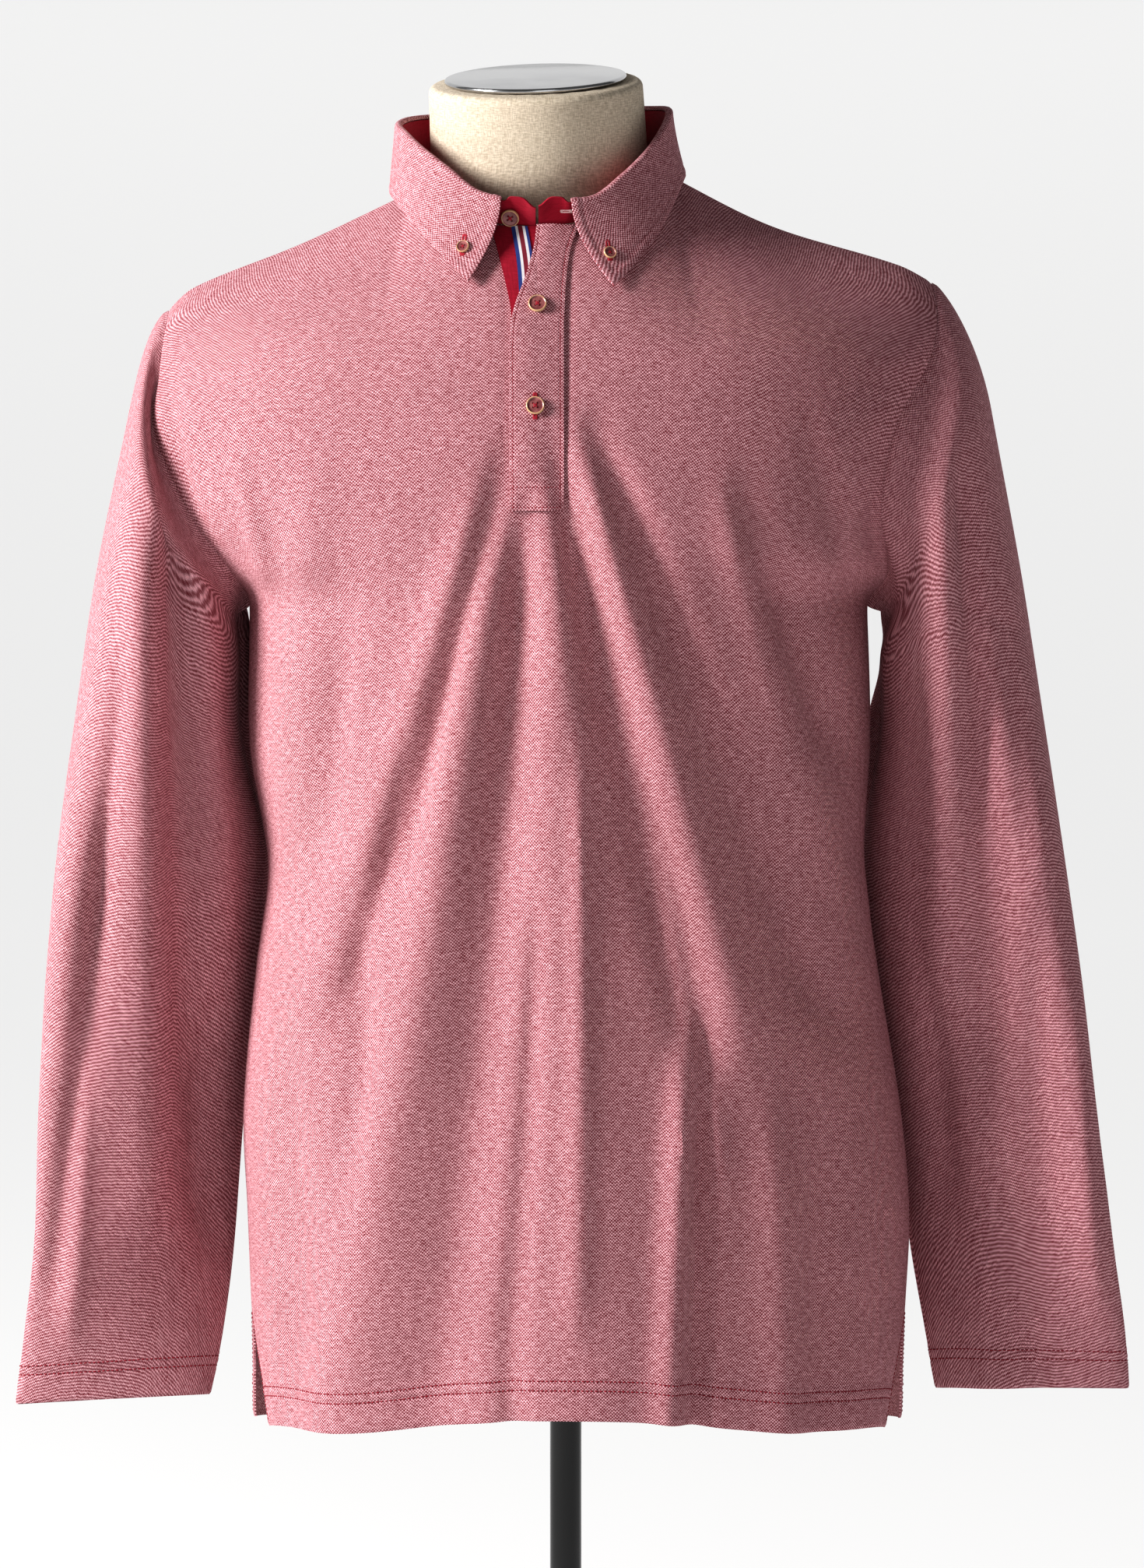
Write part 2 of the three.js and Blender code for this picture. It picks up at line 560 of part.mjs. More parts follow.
// Plackets and ribbon: strips down the front between a left and a right edge.
const PLACKET_OUTER = [
  { up: 1030.5, left: -18.5, right: 8 },
  { up: 1016, left: -20.5, right: 3 },
  { up: 998, left: -25.5, right: 0.5 },
  { up: 982, left: -31.5, right: -0.5 },
  { up: 966, left: -35, right: -1 },
  { up: 928, left: -35.5, right: -1 },
  { up: 890, left: -35.5, right: -1 },
  { up: 852, left: -35.5, right: -1 },
];
const PLACKET_UNDER = [
  { up: 1028.5, left: -46, right: -19 },
  { up: 1014, left: -42.5, right: -14 },
  { up: 996, left: -38, right: -12 },
  { up: 978, left: -34.5, right: -10 },
  { up: 928, left: -33, right: -8 },
  { up: 890, left: -33, right: -8 },
  { up: 858, left: -33, right: -8 },
];
const RIBBON_TAPE = [
  { up: 1027.5, left: -34, right: -23.8 },
  { up: 1010, left: -31, right: -20.8 },
  { up: 992, left: -29.5, right: -19.3 },
  { up: 974, left: -29, right: -18.8 },
];

function strip(name, table, columns, rows, lift, thick, finish) {
  const first = table[0].up;
  const last = table.at(-1).up;
  const grid = steps(rows).map((share) => {
    const up = lerp(first, last, share);
    const key = table.map((row) => ({ ...row, down: first - row.up }));
    const { left, right } = rowAt(key, "down", first - up);
    return steps(columns).map((side) => onFront(lerp(left, right, side), up));
  });
  const layer = (height) => grid.map((row) => row.map((found) => moved(found, height)));
  add(name, wall(layer(lift + thick), layer(lift)), finish);
}

const LIFT = { under: 0.5, ribbon: 2, front: 3.3 }; // each layer's underside above the front panel
strip("placket_under", PLACKET_UNDER, 3, 14, LIFT.under, PLACKET.back, CRIMSON);
strip("ribbon_tape", RIBBON_TAPE, 1, 6, LIFT.ribbon, PLACKET.ribbon, RIBBON);
strip("placket_outer", PLACKET_OUTER, 4, 18, LIFT.front, PLACKET.front, PIQUE);

// Collar. Degrees run round the neck from the middle of the back, 0, to the middle of the front, 180.
const FOLD_LINE = [
  { degrees: 0, leftUp: 1104, rightUp: 1105 },
  { degrees: 60, leftUp: 1101, rightUp: 1107 },
  { degrees: 90, leftUp: 1096.5, rightUp: 1105 },
  { degrees: 107, leftUp: 1092, rightUp: 1095 },
  { degrees: 124, leftUp: 1081.5, rightUp: 1079.5 },
  { degrees: 140, leftUp: 1069, rightUp: 1064.5 },
  { degrees: 154, leftUp: 1055, rightUp: 1051.5 },
  { degrees: 166, leftUp: 1050.4, rightUp: 1049.5 },
  { degrees: 180, leftUp: 1049, rightUp: 1050.5 },
];
const LEAF_END = 165;
const STAND_END = 179.4;
const LEAF = { thick: 2, bend: 1.7 }; // bend is the radius of the leaf's middle as it turns over

// The leaf's lower edge, from the middle of the back to the tip.
const LEAF_EDGE = [
  { degrees: 0, left: -18, leftUp: 1060, right: -18, rightUp: 1060, depth: 84 },
  { degrees: 45, left: -84, leftUp: 1056, right: 48, rightUp: 1062, depth: 62 },
  { degrees: 78, left: -108, leftUp: 1053.5, right: 73, rightUp: 1064, depth: 16 },
  { degrees: 102, left: -109, leftUp: 1049, right: 73.5, rightUp: 1058, depth: -22 },
  { degrees: 126, left: -95, leftUp: 1032, right: 61, rightUp: 1031, depth: -56 },
  { degrees: 148, left: -79, leftUp: 1014, right: 46, rightUp: 1010, depth: -78 },
  { degrees: 165, left: -61.7, leftUp: 996.5, right: 30.4, rightUp: 994, depth: -94 },
];

const radial = (degrees, isLeft) => {
  const angle = radians(degrees);
  return [(isLeft ? -1 : 1) * Math.sin(angle), Math.cos(angle)];
};

// Where the middle of the stand's cloth ends and the leaf begins.
function standTop(degrees, isLeft) {
  const row = rowAt(FOLD_LINE, "degrees", degrees);
  const [side, ahead] = radial(degrees, isLeft);
  const width = isLeft ? STAND.foldLeft : STAND.foldRight;
  const turned = LEAF.bend + LEAF.thick / 2;
  const bare = smooth(LEAF_END + 0.8, LEAF_END + 4, degrees);
  const corner = 6.5 * smooth(171, STAND_END, degrees) ** 2;
  const up = (isLeft ? row.leftUp : row.rightUp) - turned * (1 - bare) - corner;
  return [NECK.middle + side * width, up, NECK.depth + ahead * STAND.foldDepth];
}

function standSight(u, w) {
  const isLeft = u < 0;
  const degrees = Math.abs(u) * STAND_END;
  const foot = neckline(degrees, isLeft);
  const top = standTop(degrees, isLeft);
  foot[1] += SEAM * 2;
  top[1] -= SEAM * 2.4 * (1 - smooth(LEAF_END + 0.8, LEAF_END + 4, degrees));
  return foot.map((value, k) => lerp(value, top[k], w));
}

function leafSight(u, w) {
  const isLeft = u < 0;
  const degrees = Math.abs(u) * LEAF_END;
  const start = standTop(degrees, isLeft);
  const [side, ahead] = radial(degrees, isLeft);
  const turnShare = 0.22;
  const over = Math.min(w / turnShare, 1) * Math.PI;
  const out = LEAF.bend * (1 - Math.cos(over));
  const bent = [start[0] + side * out, start[1] + LEAF.bend * Math.sin(over), start[2] + ahead * out];
  if (w <= turnShare) return bent;
  const row = rowAt(LEAF_EDGE, "degrees", degrees);
  const edge = isLeft ? [row.left, row.leftUp, row.depth] : [row.right, row.rightUp, row.depth];
  const t = (w - turnShare) / (1 - turnShare);
  const hang = (bent[1] - edge[1]) * 0.42;
  const knee = [bent[0] + side * 1.5, bent[1] - hang, bent[2] + ahead * 1.5];
  return bent.map((from, k) => (1 - t) ** 2 * from + 2 * t * (1 - t) * knee[k] + t * t * edge[k]);
}

const flat = () => 0;
const stand = surface(standSight, flat, -1);
const leaf = surface(leafSight, flat, 1);
const halfStand = STAND.thick / 2;
const halfLeaf = LEAF.thick / 2;
const leafRound = steps(15, 0, LEAF_END);
const standRound = [...leafRound, 168, 171, 174, 177, STAND_END];
const standColumns = mirrored(standRound.map((degrees) => degrees / STAND_END));
const leafColumns = mirrored(leafRound.map((degrees) => degrees / LEAF_END));
const leafDown = [0, 0.055, 0.11, 0.165, 0.22, 0.4, 0.6, 0.8, 1];
add("collar_stand", wall(...sheetGrid(stand, standColumns, steps(3), halfStand, -halfStand)), CRIMSON);
add("collar", wall(...sheetGrid(leaf, leafColumns, leafDown, halfLeaf, -halfLeaf)), PIQUE);

// Buttons, each a dished disc that lies on its cloth
const BUTTON_GAP = 0.45;

function button(name, { radius, thick }, found, lift) {
  const rim = radius * 0.16;
  const profile = [
    [0, 0], [radius - 0.5, 0], [radius, 0.6], [radius, thick - 0.7], [radius - rim / 2, thick],
    [radius - rim, thick - 0.1], [radius - rim * 1.8, thick - 0.6], [0, thick - 0.6],
  ].map(([x, y]) => new THREE.Vector2(x, y));
  const geometry = new THREE.LatheGeometry(profile, 14);
  const mesh = add(name, lathed(geometry), HORN);
  mesh.position.copy(moved(found, lift + BUTTON_GAP));
  mesh.quaternion.setFromUnitVectors(new THREE.Vector3(0, 1, 0), found.normal);
}

// A lathed profile that meets its axis, without the doubled points of its seam and ends.
function lathed(geometry) {
  const bare = new THREE.BufferGeometry();
  bare.setAttribute("position", geometry.getAttribute("position"));
  bare.setIndex(geometry.index);
  const merged = mergeVertices(bare, 1e-4);
  const positions = merged.getAttribute("position");
  const points = steps(positions.count - 1, 0, positions.count - 1).map((i) =>
    new THREE.Vector3().fromBufferAttribute(positions, Math.round(i)));
  const index = [];
  for (let i = 0; i < merged.index.count; i += 3) {
    const [a, b, c] = [0, 1, 2].map((k) => merged.index.getX(i + k));
    if (a !== b && b !== c && c !== a) index.push(a, b, c);
  }
  return solid(points, index);
}

const onStand = (across, up) => stand(...locate(standSight, across, up, [-0.93, 0.4]));
const onLeaf = (across, up) => leaf(...locate(leafSight, across, up, [Math.sign(across) * 0.95, 0.7]));
const placketTop = LIFT.front + PLACKET.front;
button("button_stand", BODY_BUTTON, onStand(-34.8, 1037), halfStand);
button("button_upper", BODY_BUTTON, onFront(-17.6, 980.4), placketTop);
button("button_lower", BODY_BUTTON, onFront(-19.1, 917), placketTop);
button("button_tip_right", TIP_BUTTON, onLeaf(-64.2, 1017.6), halfLeaf);
button("button_tip_left", TIP_BUTTON, onLeaf(27.4, 1013.7), halfLeaf);

// The dress form under the shirt, from its flat underside to the foot of its neck. Front and back are
// depths at the middle; each ring narrows to its left and right at the depth of the shoulder seam.
const FORM = [
  { up: 352, left: -160, right: 172, front: -88, back: 76 },
  { up: 362, left: -166, right: 178, front: -94, back: 80 },
  { up: 420, left: -176, right: 188, front: -98, back: 80 },
  { up: 500, left: -174, right: 176, front: -98, back: 74 },
  { up: 620, left: -162, right: 160, front: -98, back: 70 },
  { up: 720, left: -170, right: 162, front: -104, back: 78 },
  { up: 800, left: -176, right: 166, front: -110, back: 90 },
  { up: 870, left: -188, right: 172, front: -111, back: 97 },
  { up: 930, left: -206, right: 186, front: -98, back: 95 },
  { up: 968, left: -210, right: 192, front: -72, back: 78 },
  { up: 990, left: -200, right: 188, front: -56, back: 66 },
  { up: 1006, left: -172, right: 168, front: -46, back: 56 },
  { up: 1022, left: -136.5, right: 123.5, front: -42, back: 46 },
  { up: 1038, left: -107.5, right: 83.5, front: -44, back: 48 },
  { up: 1054, left: -90, right: 53, front: -55, back: 57 },
  { up: 1072, left: -85, right: 52, front: -62, back: 59 },
];
const FORM_SIDES = 24;

function formRing({ up, left, right, front: ahead, back: behind }) {
  const center = (left + right) / 2;
  const rest = 4;
  return steps(FORM_SIDES).slice(0, -1).map((share) => {
    const angle = share * 2 * Math.PI;
    const reach = Math.cos(angle) < 0 ? ahead - rest : behind - rest;
    const depth = rest + reach * Math.abs(Math.cos(angle));
    const spot = place([center + ((right - left) / 2) * Math.sin(angle), up, depth]);
    return spot.setZ(place([0, up, 0]).z);
  });
}

// Rings of points joined to a solid with flat ends.
function loft(rings) {
  const sides = rings[0].length;
  const points = rings.flat();
  const index = [];
  for (let r = 0; r < rings.length - 1; r += 1) {
    for (let c = 0; c < sides; c += 1) {
      const next = (c + 1) % sides;
      const [a, b] = [r * sides + c, r * sides + next];
      index.push(a, b, b + sides, a, b + sides, a + sides);
    }
  }
  const last = (rings.length - 1) * sides;
  for (let c = 1; c < sides - 1; c += 1) {
    index.push(0, c + 1, c, last, last + c, last + c + 1);
  }
  return solid(points, index);
}

// The neck is cut off square to the cap, which leans forward and to one side.
const cap = new THREE.Group();
cap.position.copy(place([CAP.across, CAP.up, CAP.depth]));
cap.rotation.set(radians(90 + CAP.lean), 0, radians(CAP.roll), "YXZ");
cap.updateMatrixWorld(true);

const neckRing = (radius, below) =>
  steps(FORM_SIDES).slice(0, -1).map((share) => {
    const angle = share * 2 * Math.PI;
    const spot = new THREE.Vector3(radius * Math.sin(angle), -below, -radius * Math.cos(angle));
    return spot.applyMatrix4(cap.matrixWorld);
  });

const neckTop = CAP.thick / 2 + SEAM;
add("form_torso", loft([...FORM.map(formRing), neckRing(66.5, neckTop + 4), neckRing(64.5, neckTop)]), LINEN);

const capShape = [[0, -0.5], [0.975, -0.5], [1, -0.25], [1, 0.25], [0.975, 0.5], [0, 0.5]].map(
  ([across, up]) => new THREE.Vector2(across * CAP.radius, up * CAP.thick),
);
const capMesh = add("neck_cap", lathed(new THREE.LatheGeometry(capShape, 32)), STEEL);
capMesh.position.copy(cap.position);
capMesh.quaternion.copy(cap.quaternion);

// The pole, from the base to the form's underside, and the round base.
const poleHeight = place([0, FORM[0].up, 0]).z - SEAM - POLE.foot;
const pole = add("pole", new THREE.CylinderGeometry(POLE.radius, POLE.radius, poleHeight, 28), BLACK);
pole.rotation.x = Math.PI / 2;
pole.position.z = POLE.foot + poleHeight / 2;

const baseShape = [
  [0, 0], [BASE.radius - 1, 0], [BASE.radius, 1], [BASE.radius, BASE.thick - BASE.bevel],
  [BASE.radius - BASE.bevel, BASE.thick], [0, BASE.thick],
].map(([across, up]) => new THREE.Vector2(across, up));
const base = add("base", lathed(new THREE.LatheGeometry(baseShape, 40)), BLACK);
base.rotation.x = Math.PI / 2;

export default object;
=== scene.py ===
import math

import bpy
import numpy as np
from mathutils import Matrix, Vector


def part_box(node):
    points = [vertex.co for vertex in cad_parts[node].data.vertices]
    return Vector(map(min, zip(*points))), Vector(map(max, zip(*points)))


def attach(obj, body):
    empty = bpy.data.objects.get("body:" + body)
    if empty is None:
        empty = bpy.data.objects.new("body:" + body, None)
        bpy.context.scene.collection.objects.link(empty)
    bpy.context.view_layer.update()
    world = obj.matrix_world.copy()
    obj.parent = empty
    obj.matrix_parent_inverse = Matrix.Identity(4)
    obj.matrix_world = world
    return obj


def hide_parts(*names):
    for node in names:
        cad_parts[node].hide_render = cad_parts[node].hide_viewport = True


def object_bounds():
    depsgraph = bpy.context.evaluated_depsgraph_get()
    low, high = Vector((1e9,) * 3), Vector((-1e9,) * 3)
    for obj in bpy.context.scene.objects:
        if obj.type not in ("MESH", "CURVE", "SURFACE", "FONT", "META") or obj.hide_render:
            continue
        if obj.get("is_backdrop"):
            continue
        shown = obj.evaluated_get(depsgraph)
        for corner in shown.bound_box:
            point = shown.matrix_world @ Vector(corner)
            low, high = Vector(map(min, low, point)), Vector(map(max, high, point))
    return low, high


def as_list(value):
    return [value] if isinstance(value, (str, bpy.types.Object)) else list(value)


# A men's long-sleeve polo shirt on a limbless dress form. Shapes are worked out in millimetres, as seen
# from the front by a camera 3.2 m away and 5 degrees above level, and are placed in metres.
# "Left" and "right" are the sides seen from in front. In the pieces' names they are the wearer's.

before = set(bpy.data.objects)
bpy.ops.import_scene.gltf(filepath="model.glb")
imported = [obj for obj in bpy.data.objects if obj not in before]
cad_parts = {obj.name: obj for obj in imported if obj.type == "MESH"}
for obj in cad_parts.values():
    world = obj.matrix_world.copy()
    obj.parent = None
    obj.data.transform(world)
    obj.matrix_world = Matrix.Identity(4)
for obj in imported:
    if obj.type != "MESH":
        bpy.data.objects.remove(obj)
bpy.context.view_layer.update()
MM = 0.001
rng = np.random.default_rng(11)

# Camera
EYE_DISTANCE, EYE_DROP, EYE_ACROSS, EYE_UP = 3200.0, math.radians(5), 4.0, 680.0
FRAME_HEIGHT = 986.9  # what the photograph's height takes in at the plane of the pole


def make_camera():
    data = bpy.data.cameras.new("camera")
    data.sensor_fit = "VERTICAL"
    data.sensor_height = 24
    data.lens = data.sensor_height * EYE_DISTANCE / FRAME_HEIGHT
    data.clip_end = 50
    camera = bpy.data.objects.new("camera", data)
    target = Vector((EYE_ACROSS, 0, EYE_UP)) * MM
    back = Vector((0, -math.cos(EYE_DROP), math.sin(EYE_DROP)))
    camera.location = target + back * EYE_DISTANCE * MM
    camera.rotation_mode = "QUATERNION"
    camera.rotation_quaternion = (-back).to_track_quat("-Z", "Y")
    bpy.context.scene.collection.objects.link(camera)
    bpy.context.scene.camera = camera


make_camera()


# Shape functions, all on arrays
def place(seen):
    """Points in space, from how far across and up they look in the plane of the pole, and their depth."""
    across, up, depth = np.moveaxis(np.asarray(seen, float), -1, 0)
    sin, cos = math.sin(EYE_DROP), math.cos(EYE_DROP)
    slope = (up - EYE_UP) / EYE_DISTANCE
    rise = (slope * (EYE_DISTANCE + depth * cos) - depth * sin) / (cos + slope * sin)
    away = EYE_DISTANCE + depth * cos - rise * sin
    x = EYE_ACROSS + (across - EYE_ACROSS) * away / EYE_DISTANCE
    return np.stack([x, depth, EYE_UP + rise], axis=-1)


def lerp(a, b, t):
    return a + (b - a) * t


def smooth(low, high, value):
    t = np.clip((value - low) / (high - low), 0, 1)
    return t * t * (3 - 2 * t)


def bump(x, width):
    return np.exp(-((x / width) ** 2))


def stack(*columns):
    return np.stack(np.broadcast_arrays(*columns), axis=-1)


def unit(vectors):
    return vectors / np.maximum(np.linalg.norm(vectors, axis=-1, keepdims=True), 1e-12)


def table(names, *rows):
    """A short table of numbers under named columns."""
    return {name: np.array([row[i] for row in rows], float) for i, name in enumerate(names.split())}


def hermite(p0, m0, p1, m1, t):
    t2, t3 = t * t, t * t * t
    return (2 * t3 - 3 * t2 + 1) * p0 + (t3 - 2 * t2 + t) * m0 + (3 * t2 - 2 * t3) * p1 + (t3 - t2) * m1


def row_at(rows, key, value):
    """A table's row at a value of its key column, every other column on a smooth curve."""
    keys = rows[key]
    count = len(keys)
    i = np.clip(np.searchsorted(keys, value, side="left") - 1, 0, count - 2)
    span = keys[i + 1] - keys[i]
    t = (value - keys[i]) / span
    before, after = np.maximum(np.arange(count) - 1, 0), np.minimum(np.arange(count) + 1, count - 1)
    found = {}
    for name, column in rows.items():
        slopes = (column[after] - column[before]) / (keys[after] - keys[before])
        found[name] = hermite(column[i], slopes[i] * span, column[i + 1], slopes[i + 1] * span, t)
    return found


def sided(row, left, ending):
    """The left or the right column of a row, whichever side each point is on."""
    return np.where(left, row["left" + ending], row["right" + ending])


# Front and back panels. v runs from the hem, 0, to the neck and shoulder seams, 1; u from the left
# edge, -1, to the right edge, 1.
UNDERARM, YOKE, NECK_SHARE = 0.645, 0.85, 0.36
NECK = dict(middle=-18, depth=-3, half_width=78, half_depth=67, front_up=1031, back_up=1071)

SIDE_SEAM = table(
    "v left right edge_up edge_depth",
    (0.095, -198, 214, 352, 8),
    (0.18, -200.5, 216.5, 412, 8),
    (0.26, -203, 211, 476, 8),
    (0.37, -195, 196.5, 566, 7),
    (0.45, -187.5, 188, 632, 6),
    (0.54, -199, 192, 705, 6),
    (0.645, -199, 190, 792, 6),
)
PANEL_NAMES = "v middle up depth dip sweep left left_up left_depth right right_up right_depth"


def panel_table(hem, middles, chest):
    rows = [hem]
    for i, (middle, up, depth) in enumerate(middles):
        v, left, right, edge_up, edge_depth = (SIDE_SEAM[name][i] for name in SIDE_SEAM)
        rows.append((v, middle, up, depth, 0, 90, left, edge_up, edge_depth, right, edge_up, edge_depth))
    return table(PANEL_NAMES, *rows, *chest)


FRONT_ROWS = panel_table(
    (0, 8, 280, -112, 7, 84, -188, 276, -18, 202, 275, -26),
    [(7, 354, -113), (6, 412, -114), (4, 476, -114), (-1, 566, -115), (-5, 632, -117), (-9, 705, -121),
     (-14, 792, -126)],
    [
        (0.69, -16, 828, -128, 0, 82, -211, 814, -32, 203, 814, -36),
        (0.74, -17.5, 866, -128, 0, 74, -238, 852, -47, 199, 852, -60),
        (0.79, -18, 906, -123, 0, 66, -260, 902, -40, 208, 902, -62),
        (0.85, -18, 948, -110, 0, 60, -257, 938, -26, 226, 938, -44),
    ],
)
BACK_ROWS = panel_table(
    (0, 8, 286, 98, 0, 90, -196.5, 282, 9, 211.5, 281, 9),
    [(7, 350, 98), (6, 412, 97), (4, 476, 93), (-1, 566, 87), (-5, 632, 87), (-9, 705, 93), (-14, 792, 105)],
    [
        (0.69, -16, 828, 109, 0, 82, -208, 818, 42, 201, 818, 42),
        (0.74, -17.5, 866, 113, 0, 74, -224, 856, 60, 206, 856, 60),
        (0.79, -18, 906, 115, 0, 66, -238, 902, 60, 215, 902, 63),
        (0.85, -18, 948, 111, 0, 60, -247, 940, 45, 225, 942, 48),
    ],
)
SHOULDER = table(
    "along left left_up right right_up depth",
    (0, -96, 1054.5, 60, 1067, -3),
    (0.42, -165, 1021.8, 129, 1032.5, 0),
    (0.88, -234, 993.5, 210, 1007.5, 4),
    (1, -250.5, 979, 231, 996.5, 6),
)


def neckline(degrees, left):
    angle = np.radians(degrees)
    side_up = np.where(left, SHOULDER["left_up"][0], SHOULDER["right_up"][0])
    end_up = np.where(degrees < 90, NECK["back_up"], NECK["front_up"])
    across = NECK["middle"] + np.where(left, -1, 1) * NECK["half_width"] * np.sin(angle)
    up = lerp(side_up, end_up, np.abs(np.cos(angle)) ** 1.3)
    return stack(across, up, NECK["depth"] + NECK["half_depth"] * np.cos(angle))


def top_edge(u, is_front):
    """The top edge of a panel, and the way the cloth leaves it."""
    left, share = u < 0, np.abs(u)
    facing, outward = (-1 if is_front else 1), np.where(left, -1, 1)
    turn = np.clip(share / NECK_SHARE, 0, 1) * 90
    at_neck = neckline(180 - turn if is_front else turn, left)
    side = np.sin(np.radians(turn))
    leave_neck = stack(
        outward * 8 * side, lerp(-52, -26, side), facing * lerp(24 if is_front else 34, 58, side)
    )
    along = np.clip((share - NECK_SHARE) / (1 - NECK_SHARE), 0, 1)
    seam = row_at(SHOULDER, "along", along)
    at_shoulder = stack(sided(seam, left, ""), sided(seam, left, "_up"), seam["depth"])
    leave = stack(outward * lerp(8, 2, along), lerp(-26, -12, along), facing * lerp(58, 46, along))
    near = (share <= NECK_SHARE)[..., None]
    return np.where(near, at_neck, at_shoulder), np.where(near, leave_neck, leave)


def section_point(rows, u, v):
    left, share = u < 0, np.abs(u)
    row, seam = row_at(rows, "v", v), row_at(SIDE_SEAM, "v", v)
    sewn = (v >= SIDE_SEAM["v"][0]) & (v <= UNDERARM)
    sweep = np.radians(row["sweep"])
    edge = np.where(sewn, sided(seam, left, ""), sided(row, left, ""))
    edge_up = np.where(sewn, seam["edge_up"], sided(row, left, "_up"))
    edge_depth = np.where(sewn, seam["edge_depth"], sided(row, left, "_depth"))
    across = row["middle"] + (edge - row["middle"]) * np.sin(share * sweep) / np.sin(sweep)
    turned = (1 - np.cos(share * sweep)) / (1 - np.cos(sweep))
    up = lerp(row["up"], edge_up, share * share) - row["dip"] * np.sin(math.pi * share) ** 2
    return stack(across, up, lerp(row["depth"], edge_depth, turned**1.12))


def panel_sight(rows, is_front):
    step = 0.004

    def sight(u, v):
        u, v = np.broadcast_arrays(np.asarray(u, float), np.asarray(v, float))
        low = section_point(rows, u, np.minimum(v, YOKE))
        top = np.full_like(u, YOKE)
        yoke, below = section_point(rows, u, top), section_point(rows, u, top - step)
        end, leave = top_edge(u, is_front)
        span = 1 - YOKE
        t = ((v - YOKE) / span)[..., None]
        high = hermite(yoke, (yoke - below) / step * span, end, -leave, np.clip(t, 0, 1))
        return np.where(t > 0, high, low)

    return sight


front_sight, back_sight = panel_sight(FRONT_ROWS, True), panel_sight(BACK_ROWS, False)

# Folds. Each is a soft ridge or trough along a curve through three points as seen from in front, with
# its half width at both ends and its height.
FOLD_NAMES = "high wide_top wide_end x0 y0 x1 y1 x2 y2"
FRONT_FOLDS = table(
    FOLD_NAMES,
    (-6, 9, 14, -38, 892, -66, 800, -118, 600),
    (6, 11, 20, -56, 866, -100, 740, -168, 520),
    (7.6, 12, 26, -42, 850, -86, 640, -148, 285),
    (-7.6, 11, 26, -26, 862, -38, 640, -84, 285),
    (6, 15, 42, -10, 840, 4, 640, 16, 300),
    (-6.8, 10, 16, -2, 886, 34, 740, 88, 500),
    (6.8, 11, 18, 6, 902, 62, 760, 112, 520),
    (-6.8, 10, 19, 20, 900, 92, 740, 166, 530),
    (5.1, 11, 18, 100, 866, 128, 740, 176, 600),
    (-6, 11, 16, 112, 862, 142, 760, 176, 690),
    (-4, 9, 10, 154, 900, 172, 850, 178, 800),
    (6.8, 7, 12, 74, 520, 70, 400, 67, 285),
    (-6.8, 5, 10, 88, 520, 84, 400, 80, 285),
    (4.2, 15, 18, -160, 880, -166, 780, -172, 690),
    (-4.2, 9, 13, -138, 790, -144, 740, -156, 640),
    (-4.2, 9, 11, -132, 610, -122, 540, -136, 440),
    (5.1, 11, 18, 128, 480, 136, 380, 142, 285),
    (-4.2, 10, 14, 168, 470, 160, 400, 158, 300),
    (-4.2, 11, 16, -176, 520, -172, 430, -170, 290),
    (4, 5, 10, 8, 700, 12, 520, 6, 340),
    (-4, 5, 10, -18, 600, -22, 480, -34, 330),
    (-3, 4, 8, -100, 700, -114, 620, -140, 540),
    (3, 4, 8, 58, 640, 76, 560, 96, 440),
    (-4, 5, 9, -6, 866, 10, 800, 22, 720),
    (3, 4, 7, -50, 820, -66, 740, -84, 660),
    (-5.1, 5, 11, -250, 935, -248, 890, -238, 830),
    (-4.2, 9, 10, 206, 880, 198, 850, 190, 812),
    (4, 5, 9, -206, 880, -196, 840, -186, 800),
)
BACK_FOLDS = table(
    FOLD_NAMES,
    (8, 10, 22, -60, 870, -84, 620, -110, 285),
    (-9, 8, 20, -22, 850, -34, 600, -40, 285),
    (8, 10, 26, 8, 860, 14, 620, 30, 285),
    (-8, 8, 18, 52, 870, 74, 640, 92, 285),
    (8, 8, 16, 96, 830, 122, 620, 138, 290),
    (-7, 8, 14, -112, 860, -140, 700, -160, 480),
    (6, 8, 15, -150, 880, -166, 780, -176, 650),
    (-6, 8, 14, 128, 880, 150, 780, 168, 640),
    (-4, 5, 9, -6, 700, -8, 520, -12, 340),
    (4, 5, 9, 70, 560, 66, 440, 60, 300),
    (-5, 9, 14, -150, 520, -152, 430, -156, 290),
    (4, 5, 8, -88, 620, -96, 520, -120, 400),
)
SLEEVE_RIGHT_FOLDS = table(
    FOLD_NAMES,
    (8, 9, 16, 234, 880, 246, 740, 234, 540),
    (-10, 8, 16, 250, 910, 264, 740, 268, 500),
    (6, 12, 18, 286, 760, 304, 620, 326, 390),
    (-6, 10, 14, 300, 620, 296, 480, 302, 370),
    (5, 12, 16, 250, 520, 262, 420, 270, 310),
    (-5, 6, 10, 222, 600, 236, 520, 240, 420),
    (4, 5, 8, 318, 560, 326, 460, 334, 360),
    (-4, 5, 8, 270, 820, 286, 740, 290, 640),
    (-4, 6, 9, 246, 470, 284, 440, 330, 460),
    (-4, 6, 9, 240, 800, 272, 790, 300, 770),
)
SLEEVE_LEFT_FOLDS = table(
    FOLD_NAMES,
    (7, 9, 14, -232, 840, -214, 720, -216, 540),
    (-15, 8, 22, -246, 890, -240, 730, -222, 400),
    (7, 10, 18, -270, 840, -262, 640, -262, 400),
    (-6, 9, 14, -290, 660, -300, 520, -326, 350),
    (5, 12, 16, -306, 760, -316, 660, -318, 520),
    (-5, 6, 10, -214, 560, -230, 480, -224, 380),
    (-4, 5, 8, -278, 760, -290, 680, -296, 580),
    (4, 5, 8, -300, 500, -306, 420, -312, 340),
    (-4, 6, 9, -232, 660, -262, 640, -290, 660),
)
FADE_PAST, FADE_INSIDE, FADE_HEM = 34, 70, 340


